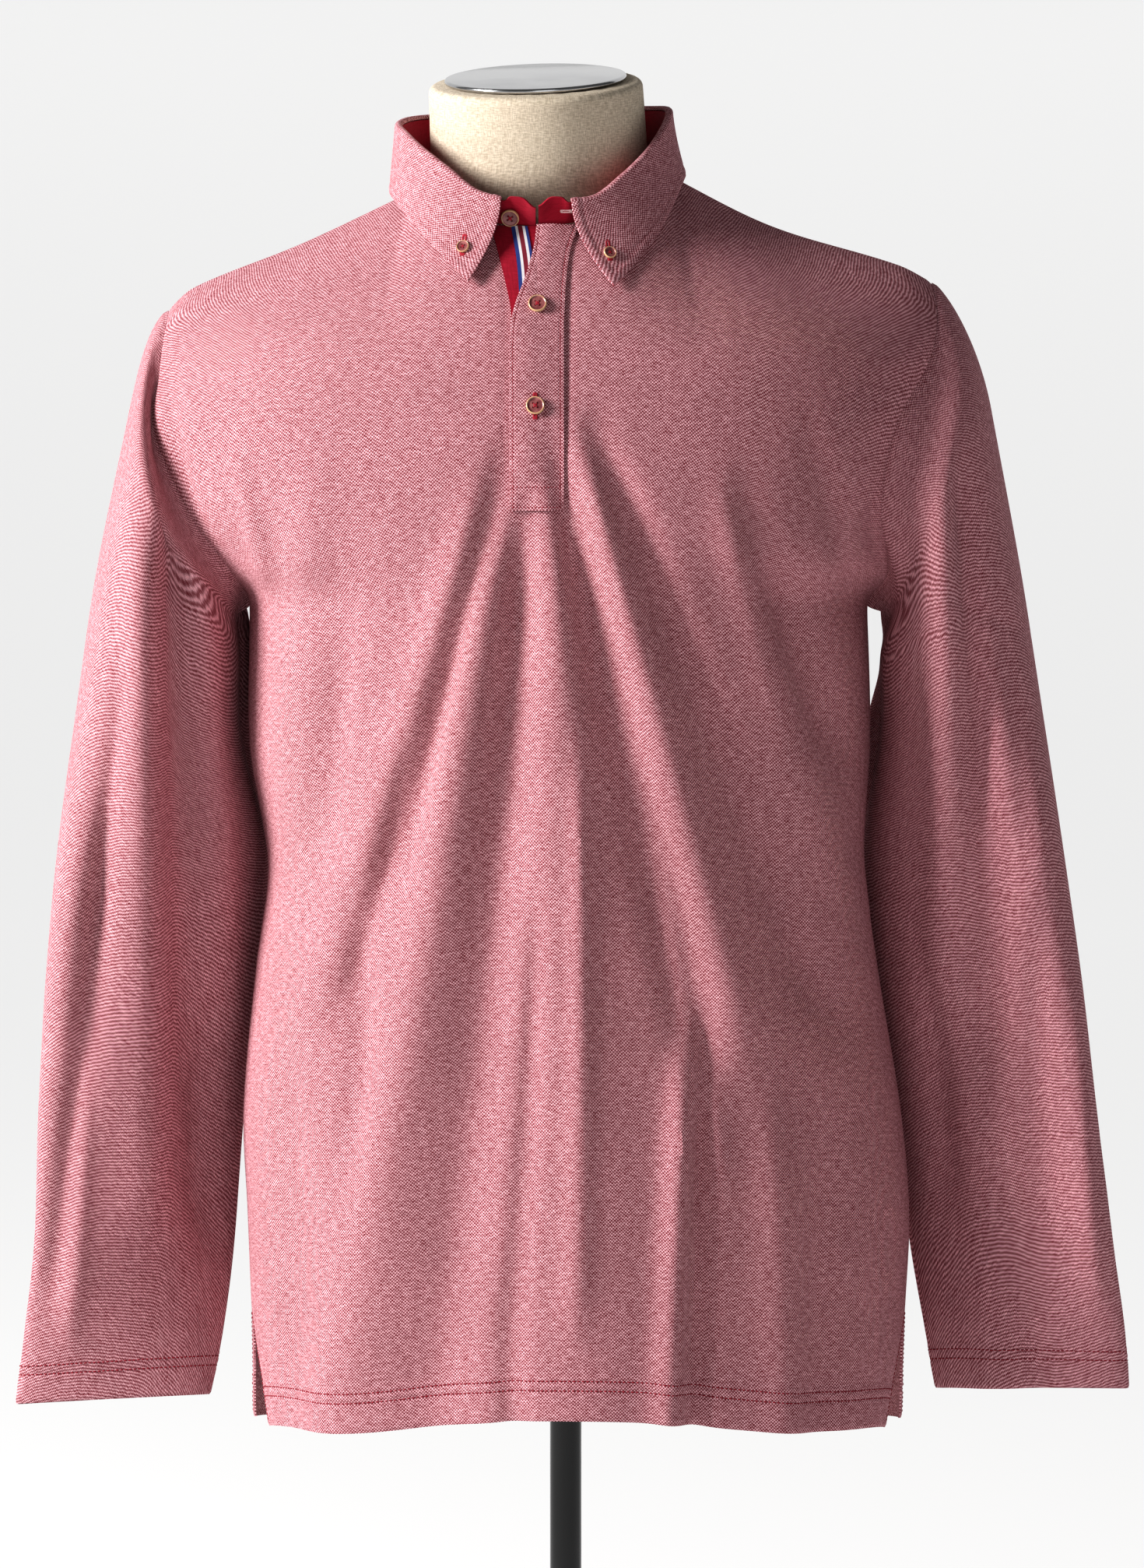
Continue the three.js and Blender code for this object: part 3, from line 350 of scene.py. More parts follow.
def fold_height(folds, across, up):
    height = np.zeros_like(across)
    for high, wide_top, wide_end, x0, y0, x1, _, x2, y2 in zip(*folds.values()):
        t = np.clip((y0 - up) / (y0 - y2), 0, 1)
        x = (1 - t) ** 2 * x0 + 2 * t * (1 - t) * x1 + t * t * x2
        begun = 1 - smooth(y0 - FADE_INSIDE, y0 + FADE_PAST, up)
        ended = 1 if y2 < FADE_HEM else smooth(y2 - FADE_PAST, y2 + FADE_INSIDE / 2, up)
        height = height + high * begun * ended * bump(across - x, lerp(wide_top, wide_end, t))
    return height


def slopes(sight, u, v, u_low, u_high, step=0.002):
    du = place(sight(np.minimum(u + step, u_high), v)) - place(sight(np.maximum(u - step, u_low), v))
    dv = place(sight(u, np.minimum(v + step, 1))) - place(sight(u, np.maximum(v - step, 0)))
    return unit(np.cross(du, dv))


def panel_fade(u, v):
    at_side = 1 - smooth(0.93, 1, np.abs(u)) * smooth(0.02, 0.12, v)
    return at_side * (1 - smooth(0.9, 0.97, v))


def panel_surface(sight, folds, is_front):
    def at(u, v):
        seen = sight(u, v)
        normal = slopes(sight, u, v, -1, 1) * (1 if is_front else -1)
        lift = panel_fade(u, v) * fold_height(folds, seen[..., 0], seen[..., 1])
        point = place(seen) + normal * lift[..., None]
        side = np.where(u < 0, -1, 1)
        ridge = (smooth(0.965, 1, v) * smooth(NECK_SHARE - 0.08, NECK_SHARE, np.abs(u)))[..., None]
        normal = lerp(normal, stack(side * 0.41, 0, 0.91), ridge)
        seam = (smooth(0.94, 1, np.abs(u)) * smooth(0.02, 0.09, v) * (1 - smooth(0.645, 0.67, v)))[..., None]
        return point, unit(lerp(normal, stack(side, 0, 0), seam)), seen

    return at


front, back = panel_surface(front_sight, FRONT_FOLDS, True), panel_surface(back_sight, BACK_FOLDS, False)

# Sleeves. s runs from the armhole, 0, to the cuff, 1, and turn runs once round from the underarm over the
# front. tuck is how far the cloth bulges in behind, beside the body, where the two hang close together.
SLEEVE_NAMES = "s up rise inner outer depth half slant twist tuck"
SLEEVE_RIGHT = table(
    SLEEVE_NAMES,
    (0.09, 849, 67, 204, 268, 4, 72, 0, 0, 8),
    (0.18, 786, 26, 198, 287, 6, 70, 4, 0, 0),
    (0.28, 716, 4, 198, 301, 8, 60, 10, 0, 14),
    (0.39, 634, 0, 186, 314, 10, 49, 28, 0, 9),
    (0.5, 556, 0, 193, 325, 10, 40, 30, 0, 5),
    (0.62, 476, 0, 206, 334, 10, 32, 32, 0, 0),
    (0.75, 396, 0, 216, 344, 8, 26, 32, 0, 0),
    (0.89, 338, 0, 226, 352, 4, 18, 20, 0, 0),
    (1, 300, 0, 233, 354.5, 0, 12, 8, 0, 0),
)
SLEEVE_LEFT = table(
    SLEEVE_NAMES,
    (0.09, 848, 66, -207, -275, 4, 70, 0, 17, 10),
    (0.18, 785, 26, -205, -296, 6, 70, 4, 12, 13),
    (0.28, 714, 4, -204, -309, 8, 60, 10, 7, 9),
    (0.39, 634, 0, -187, -320, 10, 49, 28, 3, 0),
    (0.5, 556, 0, -194, -327, 10, 40, 30, 0, 0),
    (0.62, 476, 0, -202, -332, 10, 32, 32, 0, 0),
    (0.75, 396, 0, -208, -334.5, 8, 26, 26, 0, 0),
    (0.89, 334, 0, -216, -341, 4, 18, 16, 0, 0),
    (1, 293, -3, -224, -346, 0, 12, 8, 0, 0),
)


TUCK_PEAK = 3.5  # makes the tuck's greatest reach the one in the table


def armhole(turn, left):
    share = np.where(turn <= 0.5, turn * 2, 2 - turn * 2)
    return np.full_like(turn, -1.0 if left else 1.0), lerp(UNDERARM, 1, share)


def sleeve_sight(rows, left):
    first, side, step = rows["s"][0], (-1 if left else 1), 0.01

    def ring(turn, s):
        row = row_at(rows, "s", s)
        angle = turn * 2 * math.pi
        inward = np.cos(angle)
        across = lerp(row["outer"], row["inner"], (inward + 1) / 2)
        across = across + side * row["twist"] * np.maximum(np.sin(angle), 0) ** 2
        behind = TUCK_PEAK * np.maximum(-np.sin(angle), 0) * np.maximum(inward, 0) ** 4
        across = across - side * row["tuck"] * behind
        depth = row["depth"] + row["slant"] * inward - row["half"] * np.sin(angle)
        return stack(across, row["up"] - row["rise"] * inward, depth)

    def sight(turn, s):
        turn, s = np.broadcast_arrays(np.mod(turn, 1), np.asarray(s, float))
        u, v = armhole(turn, left)
        start = np.where((turn <= 0.5)[..., None], front_sight(u, v), back_sight(u, v))
        at_first = np.full_like(s, first)
        end, after = ring(turn, at_first), ring(turn, at_first + step)
        over = np.sin(math.pi * turn) ** 2
        gap = end - start
        leave = stack(
            gap[..., 0] * 0.6 + side * lerp(7, 20, over),
            gap[..., 1] * lerp(1.1, 0.45, over),
            gap[..., 2] * 0.3,
        )
        t = np.clip(s / first, 0, 1)[..., None]
        cap = hermite(start, leave, end, (after - end) / step * first, t)
        return np.where((s < first)[..., None], cap, ring(turn, np.maximum(s, first)))

    return sight


def seam_out(turn, left):
    """The way out of the panels along the armhole, which the sleeve shares where the two lie smooth."""
    round_ = np.mod(turn, 1)
    u, v = armhole(round_, left)
    return np.where((round_ <= 0.5)[..., None], front(u, v)[1], back(u, v)[1])


def sleeve_surface(rows, folds, left):
    sight, side = sleeve_sight(rows, left), (1 if left else -1)

    def at(turn, s):
        turn, s = np.broadcast_arrays(np.asarray(turn, float), np.asarray(s, float))
        seen = sight(turn, s)
        normal = slopes(sight, turn, s, -1, 2) * side
        ahead = np.abs(normal[..., 1]) * smooth(0.02, 0.12, s)
        lift = ahead * fold_height(folds, seen[..., 0], seen[..., 1])
        shared = seam_out(turn, left)
        near = (1 - smooth(0, 0.035, s)) * smooth(-0.5, 0.1, np.sum(normal * shared, axis=-1))
        normal = unit(lerp(normal, shared, near[..., None]))
        return place(seen) + normal * lift[..., None], normal, seen

    return at


# Collar. Degrees run round the neck from the middle of the back, 0, to the middle of the front, 180.
STAND = dict(fold_left=85.5, fold_right=81.5, fold_depth=75)
FOLD_LINE = table(
    "degrees left_up right_up",
    (0, 1104, 1105),
    (60, 1101, 1107),
    (90, 1096.5, 1105),
    (107, 1092, 1095),
    (124, 1081.5, 1079.5),
    (140, 1069, 1064.5),
    (154, 1055, 1051.5),
    (166, 1050.4, 1049.5),
    (180, 1049, 1050.5),
)
LEAF_END, STAND_END, LEAF_BEND, LEAF_TURN = 165, 179.4, 1.7, 0.22
LEAF_EDGE = table(
    "degrees left left_up right right_up depth",
    (0, -18, 1060, -18, 1060, 84),
    (45, -84, 1056, 48, 1062, 62),
    (78, -108, 1053.5, 73, 1064, 16),
    (102, -109, 1049, 73.5, 1058, -22),
    (126, -95, 1032, 61, 1031, -56),
    (148, -79, 1014, 46, 1010, -78),
    (165, -61.7, 996.5, 30.4, 994, -94),
)


def radial(degrees, left):
    angle = np.radians(degrees)
    return np.where(left, -1, 1) * np.sin(angle), np.cos(angle)


def stand_top(degrees, left):
    row = row_at(FOLD_LINE, "degrees", degrees)
    side, ahead = radial(degrees, left)
    width = np.where(left, STAND["fold_left"], STAND["fold_right"])
    bare = smooth(LEAF_END + 0.8, LEAF_END + 4, degrees)
    corner = 6.5 * smooth(171, STAND_END, degrees) ** 2
    up = sided(row, left, "_up") - (LEAF_BEND + 1) * (1 - bare) - corner
    return stack(NECK["middle"] + side * width, up, NECK["depth"] + ahead * STAND["fold_depth"])


def stand_sight(u, w):
    u, w = np.broadcast_arrays(np.asarray(u, float), np.asarray(w, float))
    left, degrees = u < 0, np.abs(u) * STAND_END
    foot, top = neckline(degrees, left), stand_top(degrees, left)
    foot[..., 1] += 0.6
    top[..., 1] -= 0.72 * (1 - smooth(LEAF_END + 0.8, LEAF_END + 4, degrees))
    return lerp(foot, top, w[..., None])


def leaf_sight(u, w):
    u, w = np.broadcast_arrays(np.asarray(u, float), np.asarray(w, float))
    left, degrees = u < 0, np.abs(u) * LEAF_END
    start = stand_top(degrees, left)
    side, ahead = radial(degrees, left)
    over = np.minimum(w / LEAF_TURN, 1) * math.pi
    out = LEAF_BEND * (1 - np.cos(over))
    bent = start + stack(side * out, LEAF_BEND * np.sin(over), ahead * out)
    row = row_at(LEAF_EDGE, "degrees", degrees)
    edge = stack(sided(row, left, ""), sided(row, left, "_up"), row["depth"])
    t = np.clip((w - LEAF_TURN) / (1 - LEAF_TURN), 0, 1)[..., None]
    knee = bent + stack(side * 1.5, -(bent[..., 1] - edge[..., 1]) * 0.42, ahead * 1.5)
    return (1 - t) ** 2 * bent + 2 * t * (1 - t) * knee + t * t * edge


def plain_surface(sight, facing):
    def at(u, v):
        seen = sight(u, v)
        return place(seen), slopes(sight, u, v, -1, 1) * facing, seen

    return at


stand, leaf = plain_surface(stand_sight, -1), plain_surface(leaf_sight, 1)


def locate(sight, across, up, guess):
    """The u and v at which a surface shows at a place seen from in front."""
    across, up = np.broadcast_arrays(np.asarray(across, float), np.asarray(up, float))
    u, v = np.full_like(across, guess[0]), np.full_like(across, guess[1])
    step = 1e-3
    for _ in range(16):
        here, along, upward = sight(u, v), sight(u + step, v), sight(u, v + step)
        (xu, yu), (xv, yv) = (np.moveaxis((near - here)[..., :2] / step, -1, 0) for near in (along, upward))
        dx, dy = across - here[..., 0], up - here[..., 1]
        determinant = xu * yv - xv * yu
        u, v = u + (dx * yv - dy * xv) / determinant, v + (dy * xu - dx * yu) / determinant
    return u, v


# Sheets and their meshes
class Sheet:
    """A grid of points on a surface, their outward directions, and lengths along the cloth in millimetres."""

    def __init__(self, at, us, vs, relief=None):
        self.us, self.vs = us, vs
        u, v = np.meshgrid(us, vs)
        point, normal, seen = at(u, v)
        step_x = np.linalg.norm(np.diff(point, axis=1), axis=-1)
        step_y = np.linalg.norm(np.diff(point, axis=0), axis=-1)
        self.x = np.concatenate([np.zeros((len(vs), 1)), np.cumsum(step_x, axis=1)], axis=1)
        self.y = np.concatenate([np.zeros((1, len(us))), np.cumsum(step_y, axis=0)], axis=0)
        self.x = self.x - self.x[:, [len(us) // 2]]
        self.u, self.v, self.seen, self.normal = u, v, seen, normal
        lift = 0 if relief is None else relief(self)
        self.point = point + normal * np.broadcast_to(lift, u.shape)[..., None]

    def find(self, u, v):
        """The point and the way out at any u and v, between grid points."""
        i = np.clip(np.interp(v, self.vs, np.arange(len(self.vs))), 0, len(self.vs) - 1.0001)
        j = np.clip(np.interp(u, self.us, np.arange(len(self.us))), 0, len(self.us) - 1.0001)
        i0, j0 = i.astype(int), j.astype(int)
        a, b = (i - i0)[..., None], (j - j0)[..., None]

        def mix(grid):
            low = lerp(grid[i0, j0], grid[i0, j0 + 1], b)
            return lerp(low, lerp(grid[i0 + 1, j0], grid[i0 + 1, j0 + 1], b), a)

        return mix(self.point), unit(mix(self.normal))


CLOTH_SHARP, TURNED_SHARP, LOFT_SHARP = 40, 35, 50  # degrees past which an edge shows hard


def link(name, mesh, material):
    piece = bpy.data.objects.new(name, mesh)
    bpy.context.scene.collection.objects.link(piece)
    mesh.materials.append(material)
    return piece


def mesh_of(name, points, faces):
    """A mesh in metres from points in millimetres."""
    mesh = bpy.data.meshes.new(name)
    mesh.from_pydata((np.asarray(points) * MM).tolist(), [], faces)
    return mesh


def lay_weave(mesh, pairs):
    """Gives each corner of each face its lengths along the cloth, which the materials read."""
    layer = mesh.uv_layers.new(name="cloth")
    layer.data.foreach_set("uv", np.asarray(pairs, np.float32).ravel())


def shade_smooth(mesh, sharp=None):
    """Smooth faces, with a hard edge where two meet at more than an angle in degrees."""
    mesh.polygons.foreach_set("use_smooth", [True] * len(mesh.polygons))
    if sharp:
        mesh.set_sharp_from_angle(angle=math.radians(sharp))
    return mesh


def wall(name, sheet, outside, inside, round_=False, keep=None):
    """A cloth wall on a sheet, from `outside` above it to `inside` above it, closed round its edges."""
    shape = sheet.u.shape
    outer = sheet.point + sheet.normal * np.broadcast_to(outside, shape)[..., None]
    inner = sheet.point + sheet.normal * np.broadcast_to(inside, shape)[..., None]
    rows, columns = shape
    used = columns - 1 if round_ else columns
    cells = np.ones((rows - 1, columns - 1), bool) if keep is None else keep
    r, c = np.nonzero(cells)

    def corner(layer, dr, dc):
        return (layer * rows + r + dr) * used + (c + dc) % used, (r + dr, c + dc)

    faces, uvs = [], []

    def quads(mask, *corners):
        ids = np.stack([corner(*each)[0] for each in corners], axis=-1)[mask]
        at = [corner(*each)[1] for each in corners]
        pairs = np.stack([np.stack([sheet.x[p], sheet.y[p]], -1) for p in at], axis=1)[mask]
        faces.append(ids)
        uvs.append(pairs)

    def neighbour(dr, dc):
        rr, cc = r + dr, c + dc
        if round_:
            cc = cc % (columns - 1)
        inside_grid = (rr >= 0) & (rr < rows - 1) & (cc >= 0) & (cc < columns - 1)
        found = np.zeros(len(r), bool)
        found[inside_grid] = cells[rr[inside_grid], cc[inside_grid]]
        return ~found

    everywhere = np.ones(len(r), bool)
    quads(everywhere, (0, 0, 0), (0, 0, 1), (0, 1, 1), (0, 1, 0))
    quads(everywhere, (1, 0, 0), (1, 1, 0), (1, 1, 1), (1, 0, 1))
    quads(neighbour(-1, 0), (0, 0, 0), (1, 0, 0), (1, 0, 1), (0, 0, 1))
    quads(neighbour(1, 0), (0, 1, 1), (1, 1, 1), (1, 1, 0), (0, 1, 0))
    quads(neighbour(0, -1), (0, 1, 0), (1, 1, 0), (1, 0, 0), (0, 0, 0))
    quads(neighbour(0, 1), (0, 0, 1), (1, 0, 1), (1, 1, 1), (0, 1, 1))
    faces, uvs = np.concatenate(faces), np.concatenate(uvs)
    points = np.concatenate([outer[:, :used].reshape(-1, 3), inner[:, :used].reshape(-1, 3)])
    kept, renumbered = np.unique(faces, return_inverse=True)
    faces, points = renumbered.reshape(faces.shape), points[kept]
    a, b, d = points[faces[:, 0]], points[faces[:, 1]], points[faces[:, 3]]
    e = points[faces[:, 2]]
    volume = np.sum(np.cross(b - a, e - a) * a) + np.sum(np.cross(e - a, d - a) * a)
    if volume < 0:
        faces, uvs = faces[:, ::-1], uvs[:, ::-1]
    mesh = mesh_of(name, points, faces.tolist())
    lay_weave(mesh, uvs)
    shade_smooth(mesh, CLOTH_SHARP)
    mesh.validate()
    return mesh


# Materials
class Nodes:
    """A material's node tree, built in few words."""

    def __init__(self, name, **sockets):
        self.material = bpy.data.materials.new(name)
        self.material.use_nodes = True
        self.tree = self.material.node_tree
        self.shader = next(n for n in self.tree.nodes if n.type == "BSDF_PRINCIPLED")
        for socket, value in sockets.items():
            self.shader.inputs[socket.replace("_", " ")].default_value = value

    def put(self, kind, inputs=(), **settings):
        node = self.tree.nodes.new(kind)
        for key, value in settings.items():
            setattr(node, key, value)
        for key, value in dict(inputs).items():
            if isinstance(value, bpy.types.NodeSocket):
                self.tree.links.new(value, node.inputs[key])
            else:
                node.inputs[key].default_value = value
        return node

    def math(self, operation, *values):
        return self.put("ShaderNodeMath", dict(enumerate(values)), operation=operation).outputs[0]

    def cloth_place(self):
        split = self.put("ShaderNodeSeparateXYZ", {0: self.put("ShaderNodeUVMap", uv_map="cloth").outputs[0]})
        return split.outputs[0], split.outputs[1]

    def vector(self, x, y, z=0.0):
        return self.put("ShaderNodeCombineXYZ", {0: x, 1: y, 2: z}).outputs[0]

    def noise(self, vector, scale, detail=2.0):
        node = self.put("ShaderNodeTexNoise", {"Vector": vector, "Scale": scale, "Detail": detail})
        return node.outputs["Fac"]

    def place_in_space(self):
        return self.put("ShaderNodeTexCoord").outputs["Object"]

    def ramp(self, value, low, high, to_low=0.0, to_high=1.0):
        inputs = {"Value": value, "From Min": low, "From Max": high, "To Min": to_low, "To Max": to_high}
        return self.put("ShaderNodeMapRange", inputs, interpolation_type="SMOOTHSTEP").outputs[0]

    def mix(self, factor, a, b, blend="MIX"):
        node = self.put("ShaderNodeMix", data_type="RGBA", blend_type=blend)
        for socket, value in zip((node.inputs[0], node.inputs[6], node.inputs[7]), (factor, a, b)):
            if isinstance(value, bpy.types.NodeSocket):
                self.tree.links.new(value, socket)
            else:
                socket.default_value = value
        return node.outputs[2]

    def color(self, socket):
        self.tree.links.new(socket, self.shader.inputs["Base Color"])

    def roughness(self, socket):
        self.tree.links.new(socket, self.shader.inputs["Roughness"])

    def relief(self, height, strength, distance):
        node = self.put("ShaderNodeBump", {"Height": height, "Strength": strength, "Distance": distance})
        self.tree.links.new(node.outputs[0], self.shader.inputs["Normal"])


def rgb(red, green, blue):
    """A colour as it shows, 0 to 255, as the linear one a shader takes."""
    values = [value / 255 for value in (red, green, blue)]
    return tuple(v / 12.92 if v <= 0.04045 else ((v + 0.055) / 1.055) ** 2.4 for v in values) + (1.0,)


KNIT_PITCH = 2.0  # from one dot to the next, along the rows and up them
DOTS_FROM, DOTS_FULL = 0.3, 0.92  # the lattice's heights at which a dot begins and is all light
WANDER, DRIFT, STAGGER = 0.7, 0.7, 1.8  # how far the dots stray across, up, and in long slow waves
PATCH_DARK = 0.08  # how much darker the knit's darkest patches are


def cloth_material(name, dark, light):
    """Birdseye knit: light dots in a brick pattern on a dark ground, with uneven yarns along the rows."""
    n = Nodes(name, Roughness=0.94, Sheen_Weight=0.05, Sheen_Roughness=0.6, Specular_IOR_Level=0.08)
    x, y = n.cloth_place()
    place_mm = n.vector(x, y)
    wander = n.math("SUBTRACT", n.noise(place_mm, 0.35), 0.5)
    drift = n.math("SUBTRACT", n.noise(place_mm, 0.9), 0.5)
    stagger = n.noise(n.vector(n.math("MULTIPLY", x, 0.25), n.math("MULTIPLY", y, 0.05)), 1.0)
    shift = n.math("ADD", n.math("MULTIPLY", drift, DRIFT), n.math("MULTIPLY", stagger, STAGGER))
    strayed = n.math("ADD", x, n.math("MULTIPLY", wander, WANDER))
    across = n.math("MULTIPLY", strayed, 2 * math.pi / KNIT_PITCH)
    upward = n.math("MULTIPLY", n.math("ADD", y, shift), 2 * math.pi / KNIT_PITCH)
    bricks = n.math("MULTIPLY", n.math("COSINE", across), n.math("COSINE", upward))
    dot = n.math("ADD", n.math("MULTIPLY", bricks, 0.5), 0.5)
    yarn = n.noise(n.vector(n.math("MULTIPLY", x, 0.16), n.math("MULTIPLY", y, 0.5)), 1.0, 3.0)
    patch = n.noise(place_mm, 0.02, 3.0)
    fleck = n.noise(n.vector(n.math("MULTIPLY", x, 0.3), n.math("MULTIPLY", y, 1.4)), 1.0, 2.0)
    uneven = n.math("MULTIPLY", n.math("SUBTRACT", yarn, 0.5), 0.35)
    shown = n.ramp(n.math("ADD", dot, uneven), DOTS_FROM, DOTS_FULL)
    ground = n.mix(n.ramp(fleck, 0.3, 0.75), dark, n.mix(0.3, dark, light))
    raised = n.mix(n.ramp(yarn, 0.3, 0.7), n.mix(0.25, light, dark), light)
    plain = n.mix(shown, ground, raised)
    shade = n.ramp(patch, 0.25, 0.75, 1 - PATCH_DARK, 1.0)
    grey = n.put("ShaderNodeCombineColor", {0: shade, 1: shade, 2: shade}).outputs[0]
    n.color(n.mix(1.0, plain, grey, "MULTIPLY"))
    n.relief(dot, 0.55, 0.0004)
    return n.material


def woven_material(name, base, other, pitch, roughness=0.85, contrast=0.5):
    """A plain weave: threads over and under each other, with slubs."""
    n = Nodes(name, Roughness=roughness, Sheen_Weight=0.1, Specular_IOR_Level=0.25)
    x, y = n.cloth_place()
    warp = n.math("SINE", n.math("MULTIPLY", x, 2 * math.pi / pitch))
    weft = n.math("SINE", n.math("MULTIPLY", y, 2 * math.pi / pitch))
    grid = n.math("MULTIPLY", warp, weft)
    slub = n.noise(n.vector(n.math("MULTIPLY", x, 0.9), n.math("MULTIPLY", y, 0.12)), 1.0, 4.0)
    slub_across = n.noise(n.vector(n.math("MULTIPLY", x, 0.12), n.math("MULTIPLY", y, 0.9)), 1.0, 4.0)
    together = n.math("ADD", n.math("MULTIPLY", grid, 0.25), n.math("ADD", slub, slub_across))
    n.color(n.mix(n.ramp(together, 1 - contrast, 1 + contrast), base, other))
    n.relief(n.math("ADD", n.math("MULTIPLY", grid, 0.5), slub), 0.5, 0.0004)
    return n.material


def ribbon_material(name):
    """Lengthwise stripes: blue, white, maroon, white, blue, with fine ribs across."""
    n = Nodes(name, Roughness=0.65, Sheen_Weight=0.15, Specular_IOR_Level=0.3)
    x, y = n.cloth_place()
    middle = n.math("ABSOLUTE", x)
    blue, white, maroon = rgb(52, 72, 140), rgb(236, 234, 236), rgb(140, 40, 62)
    inner = n.mix(n.ramp(middle, 1.25, 1.45), maroon, white)
    n.color(n.mix(n.ramp(middle, 2.9, 3.1), inner, blue))
    n.relief(n.math("SINE", n.math("MULTIPLY", y, 2 * math.pi / 0.6)), 0.5, 0.0002)
    return n.material


def thread_material(name, base):
    n = Nodes(name, Roughness=0.6, Sheen_Weight=0.2, Specular_IOR_Level=0.35)
    strands = n.noise(n.place_in_space(), 900, 2.0)
    n.color(n.mix(n.ramp(strands, 0.3, 0.7), n.mix(0.25, base, (0, 0, 0, 1)), base))
    return n.material


def horn_material(name):
    """Horn-like plastic: a pale rim round a warm, mottled middle."""
    n = Nodes(name, Roughness=0.28, Specular_IOR_Level=0.5, Coat_Weight=0.3, Coat_Roughness=0.15)
    x, _ = n.cloth_place()
    mottle = n.noise(n.place_in_space(), 260, 4.0)
    middle = n.mix(n.ramp(mottle, 0.35, 0.65), rgb(126, 72, 74), rgb(166, 110, 108))
    n.color(n.mix(n.ramp(x, 0.8, 0.9), middle, rgb(206, 172, 134)))
    return n.material


def steel_material(name):
    n = Nodes(name, Metallic=1.0, Roughness=0.16)
    brushed = n.noise(n.place_in_space(), 30, 5.0)
    n.color(n.mix(n.ramp(brushed, 0.3, 0.7), rgb(188, 188, 190), rgb(208, 208, 209)))
    n.roughness(n.ramp(brushed, 0.25, 0.75, 0.12, 0.22))
    return n.material


def black_material(name, roughness):
    n = Nodes(name, Specular_IOR_Level=0.5, Coat_Weight=0.25, Coat_Roughness=0.1)
    wear = n.noise(n.place_in_space(), 45, 5.0)
    n.color(n.mix(n.ramp(wear, 0.35, 0.8), rgb(18, 18, 19), rgb(32, 32, 33)))
    n.roughness(n.ramp(wear, 0.3, 0.7, roughness - 0.06, roughness + 0.06))
    return n.material


PIQUE = cloth_material("pique", rgb(112, 10, 30), rgb(255, 206, 213))
CRIMSON = woven_material("crimson_twill", rgb(150, 20, 46), rgb(178, 34, 62), 0.7)
RIBBON = ribbon_material("ribbon")
THREAD = thread_material("crimson_thread", rgb(176, 34, 58))
SEAM_THREAD = thread_material("seam_thread", rgb(146, 14, 42))
PALE_THREAD = thread_material("pale_thread", rgb(226, 190, 190))
HORN = horn_material("horn")
LINEN = woven_material("linen", rgb(184, 168, 146), rgb(240, 228, 210), 1.0, 0.95, 0.35)
STEEL = steel_material("steel")
BLACK_GLOSS = black_material("black_pole", 0.22)
BLACK_SATIN = black_material("black_base", 0.4)


def finish_piece(name, mesh, material, replaces=None):
    piece = link(name, mesh, material)
    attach(piece, "root")
    if replaces:
        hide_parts(replaces)
    return piece


def cloth_piece(name, node, sheet, outside, inside, material, slot, **edges):
    """A wall of cloth on a sheet, in place of a node."""
    return finish_piece(name, wall(name, sheet, outside, inside, **edges), material, node)


# Panels
CLOTH_THICK = 1.2
TOP_GAP, EDGE_GAP, SLEEVE_GAP = 0.15 / 400, 0.15 / 180, 0.15 / 700
SLIT_HALF, SLIT_FOOT = 0.024, 0.722
HEM_DEEP, TWIN_GAP = 25, 6


def edge_distance(sheet):
    return np.minimum(sheet.x - sheet.x[:, :1], sheet.x[:, -1:] - sheet.x)


def hem_relief(distance):
    """A hem's double cloth, pressed in along its two rows of stitches and rounded at its edge."""
    rows = bump(distance - HEM_DEEP, 1.1) + bump(distance - (HEM_DEEP - TWIN_GAP), 1.1)
    puff = 0.45 * (1 - smooth(HEM_DEEP + 1, HEM_DEEP + 4, distance))
    return puff - 0.5 * rows - 0.6 * bump(distance, 1.2)


def smooth_armhole(v):
    """Up the armhole, 0 in the deep crease at the armpit and 1 where sleeve and panel lie smooth."""
    return smooth(0.74, 0.765, v)


def panel_relief(sheet):
    sewn = edge_distance(sheet)
    seam = np.maximum(1 - smooth(0.62, UNDERARM, sheet.v), smooth_armhole(sheet.v)) * bump(sewn, 2.4)
    top = bump(sheet.y[-1:] - sheet.y, 2.2) * (np.abs(sheet.u) > NECK_SHARE)
    return hem_relief(sheet.y) - 1.0 * seam - 1.0 * top


PLACKET_LEFT, PLACKET_RIGHT, PLACKET_FOOT = -37, 0.6, 850.5  # where the cloth is drawn in, as seen
DRAWN_WIDE, DRAWN_BESIDE, DRAWN_UNDER = 1.8, 0.8, 0.7


def front_relief(sheet):
    """The panel's relief, with the cloth drawn in along the placket's sides and under its foot."""
    across, up = sheet.seen[..., 0], sheet.seen[..., 1]
    beside = bump(across - PLACKET_LEFT, DRAWN_WIDE) + bump(across - PLACKET_RIGHT, DRAWN_WIDE)
    inside = smooth(-39, -36, across) * (1 - smooth(-0.5, 2.5, across))
    above_foot = smooth(848, 856, up) * (1 - smooth(1000, 1020, up))
    under = bump(up - PLACKET_FOOT, DRAWN_WIDE) * inside
    return panel_relief(sheet) - DRAWN_BESIDE * beside * above_foot - DRAWN_UNDER * under


hem_rows = np.arange(0, 34) * 0.0013
panel_rows = np.concatenate([hem_rows, np.linspace(0.0442, 1 - TOP_GAP, 225)])
front_sheet = Sheet(front, np.linspace(-1 + EDGE_GAP, 1 - EDGE_GAP, 163), panel_rows, front_relief)
back_sheet = Sheet(back, np.linspace(-1 + EDGE_GAP, 1 - EDGE_GAP, 121), panel_rows, panel_relief)
cell_u = (front_sheet.us[:-1] + front_sheet.us[1:]) / 2
cell_v = (panel_rows[:-1] + panel_rows[1:]) / 2
outside_slit = (np.abs(cell_u)[None, :] > SLIT_HALF) | (cell_v[:, None] < SLIT_FOOT)

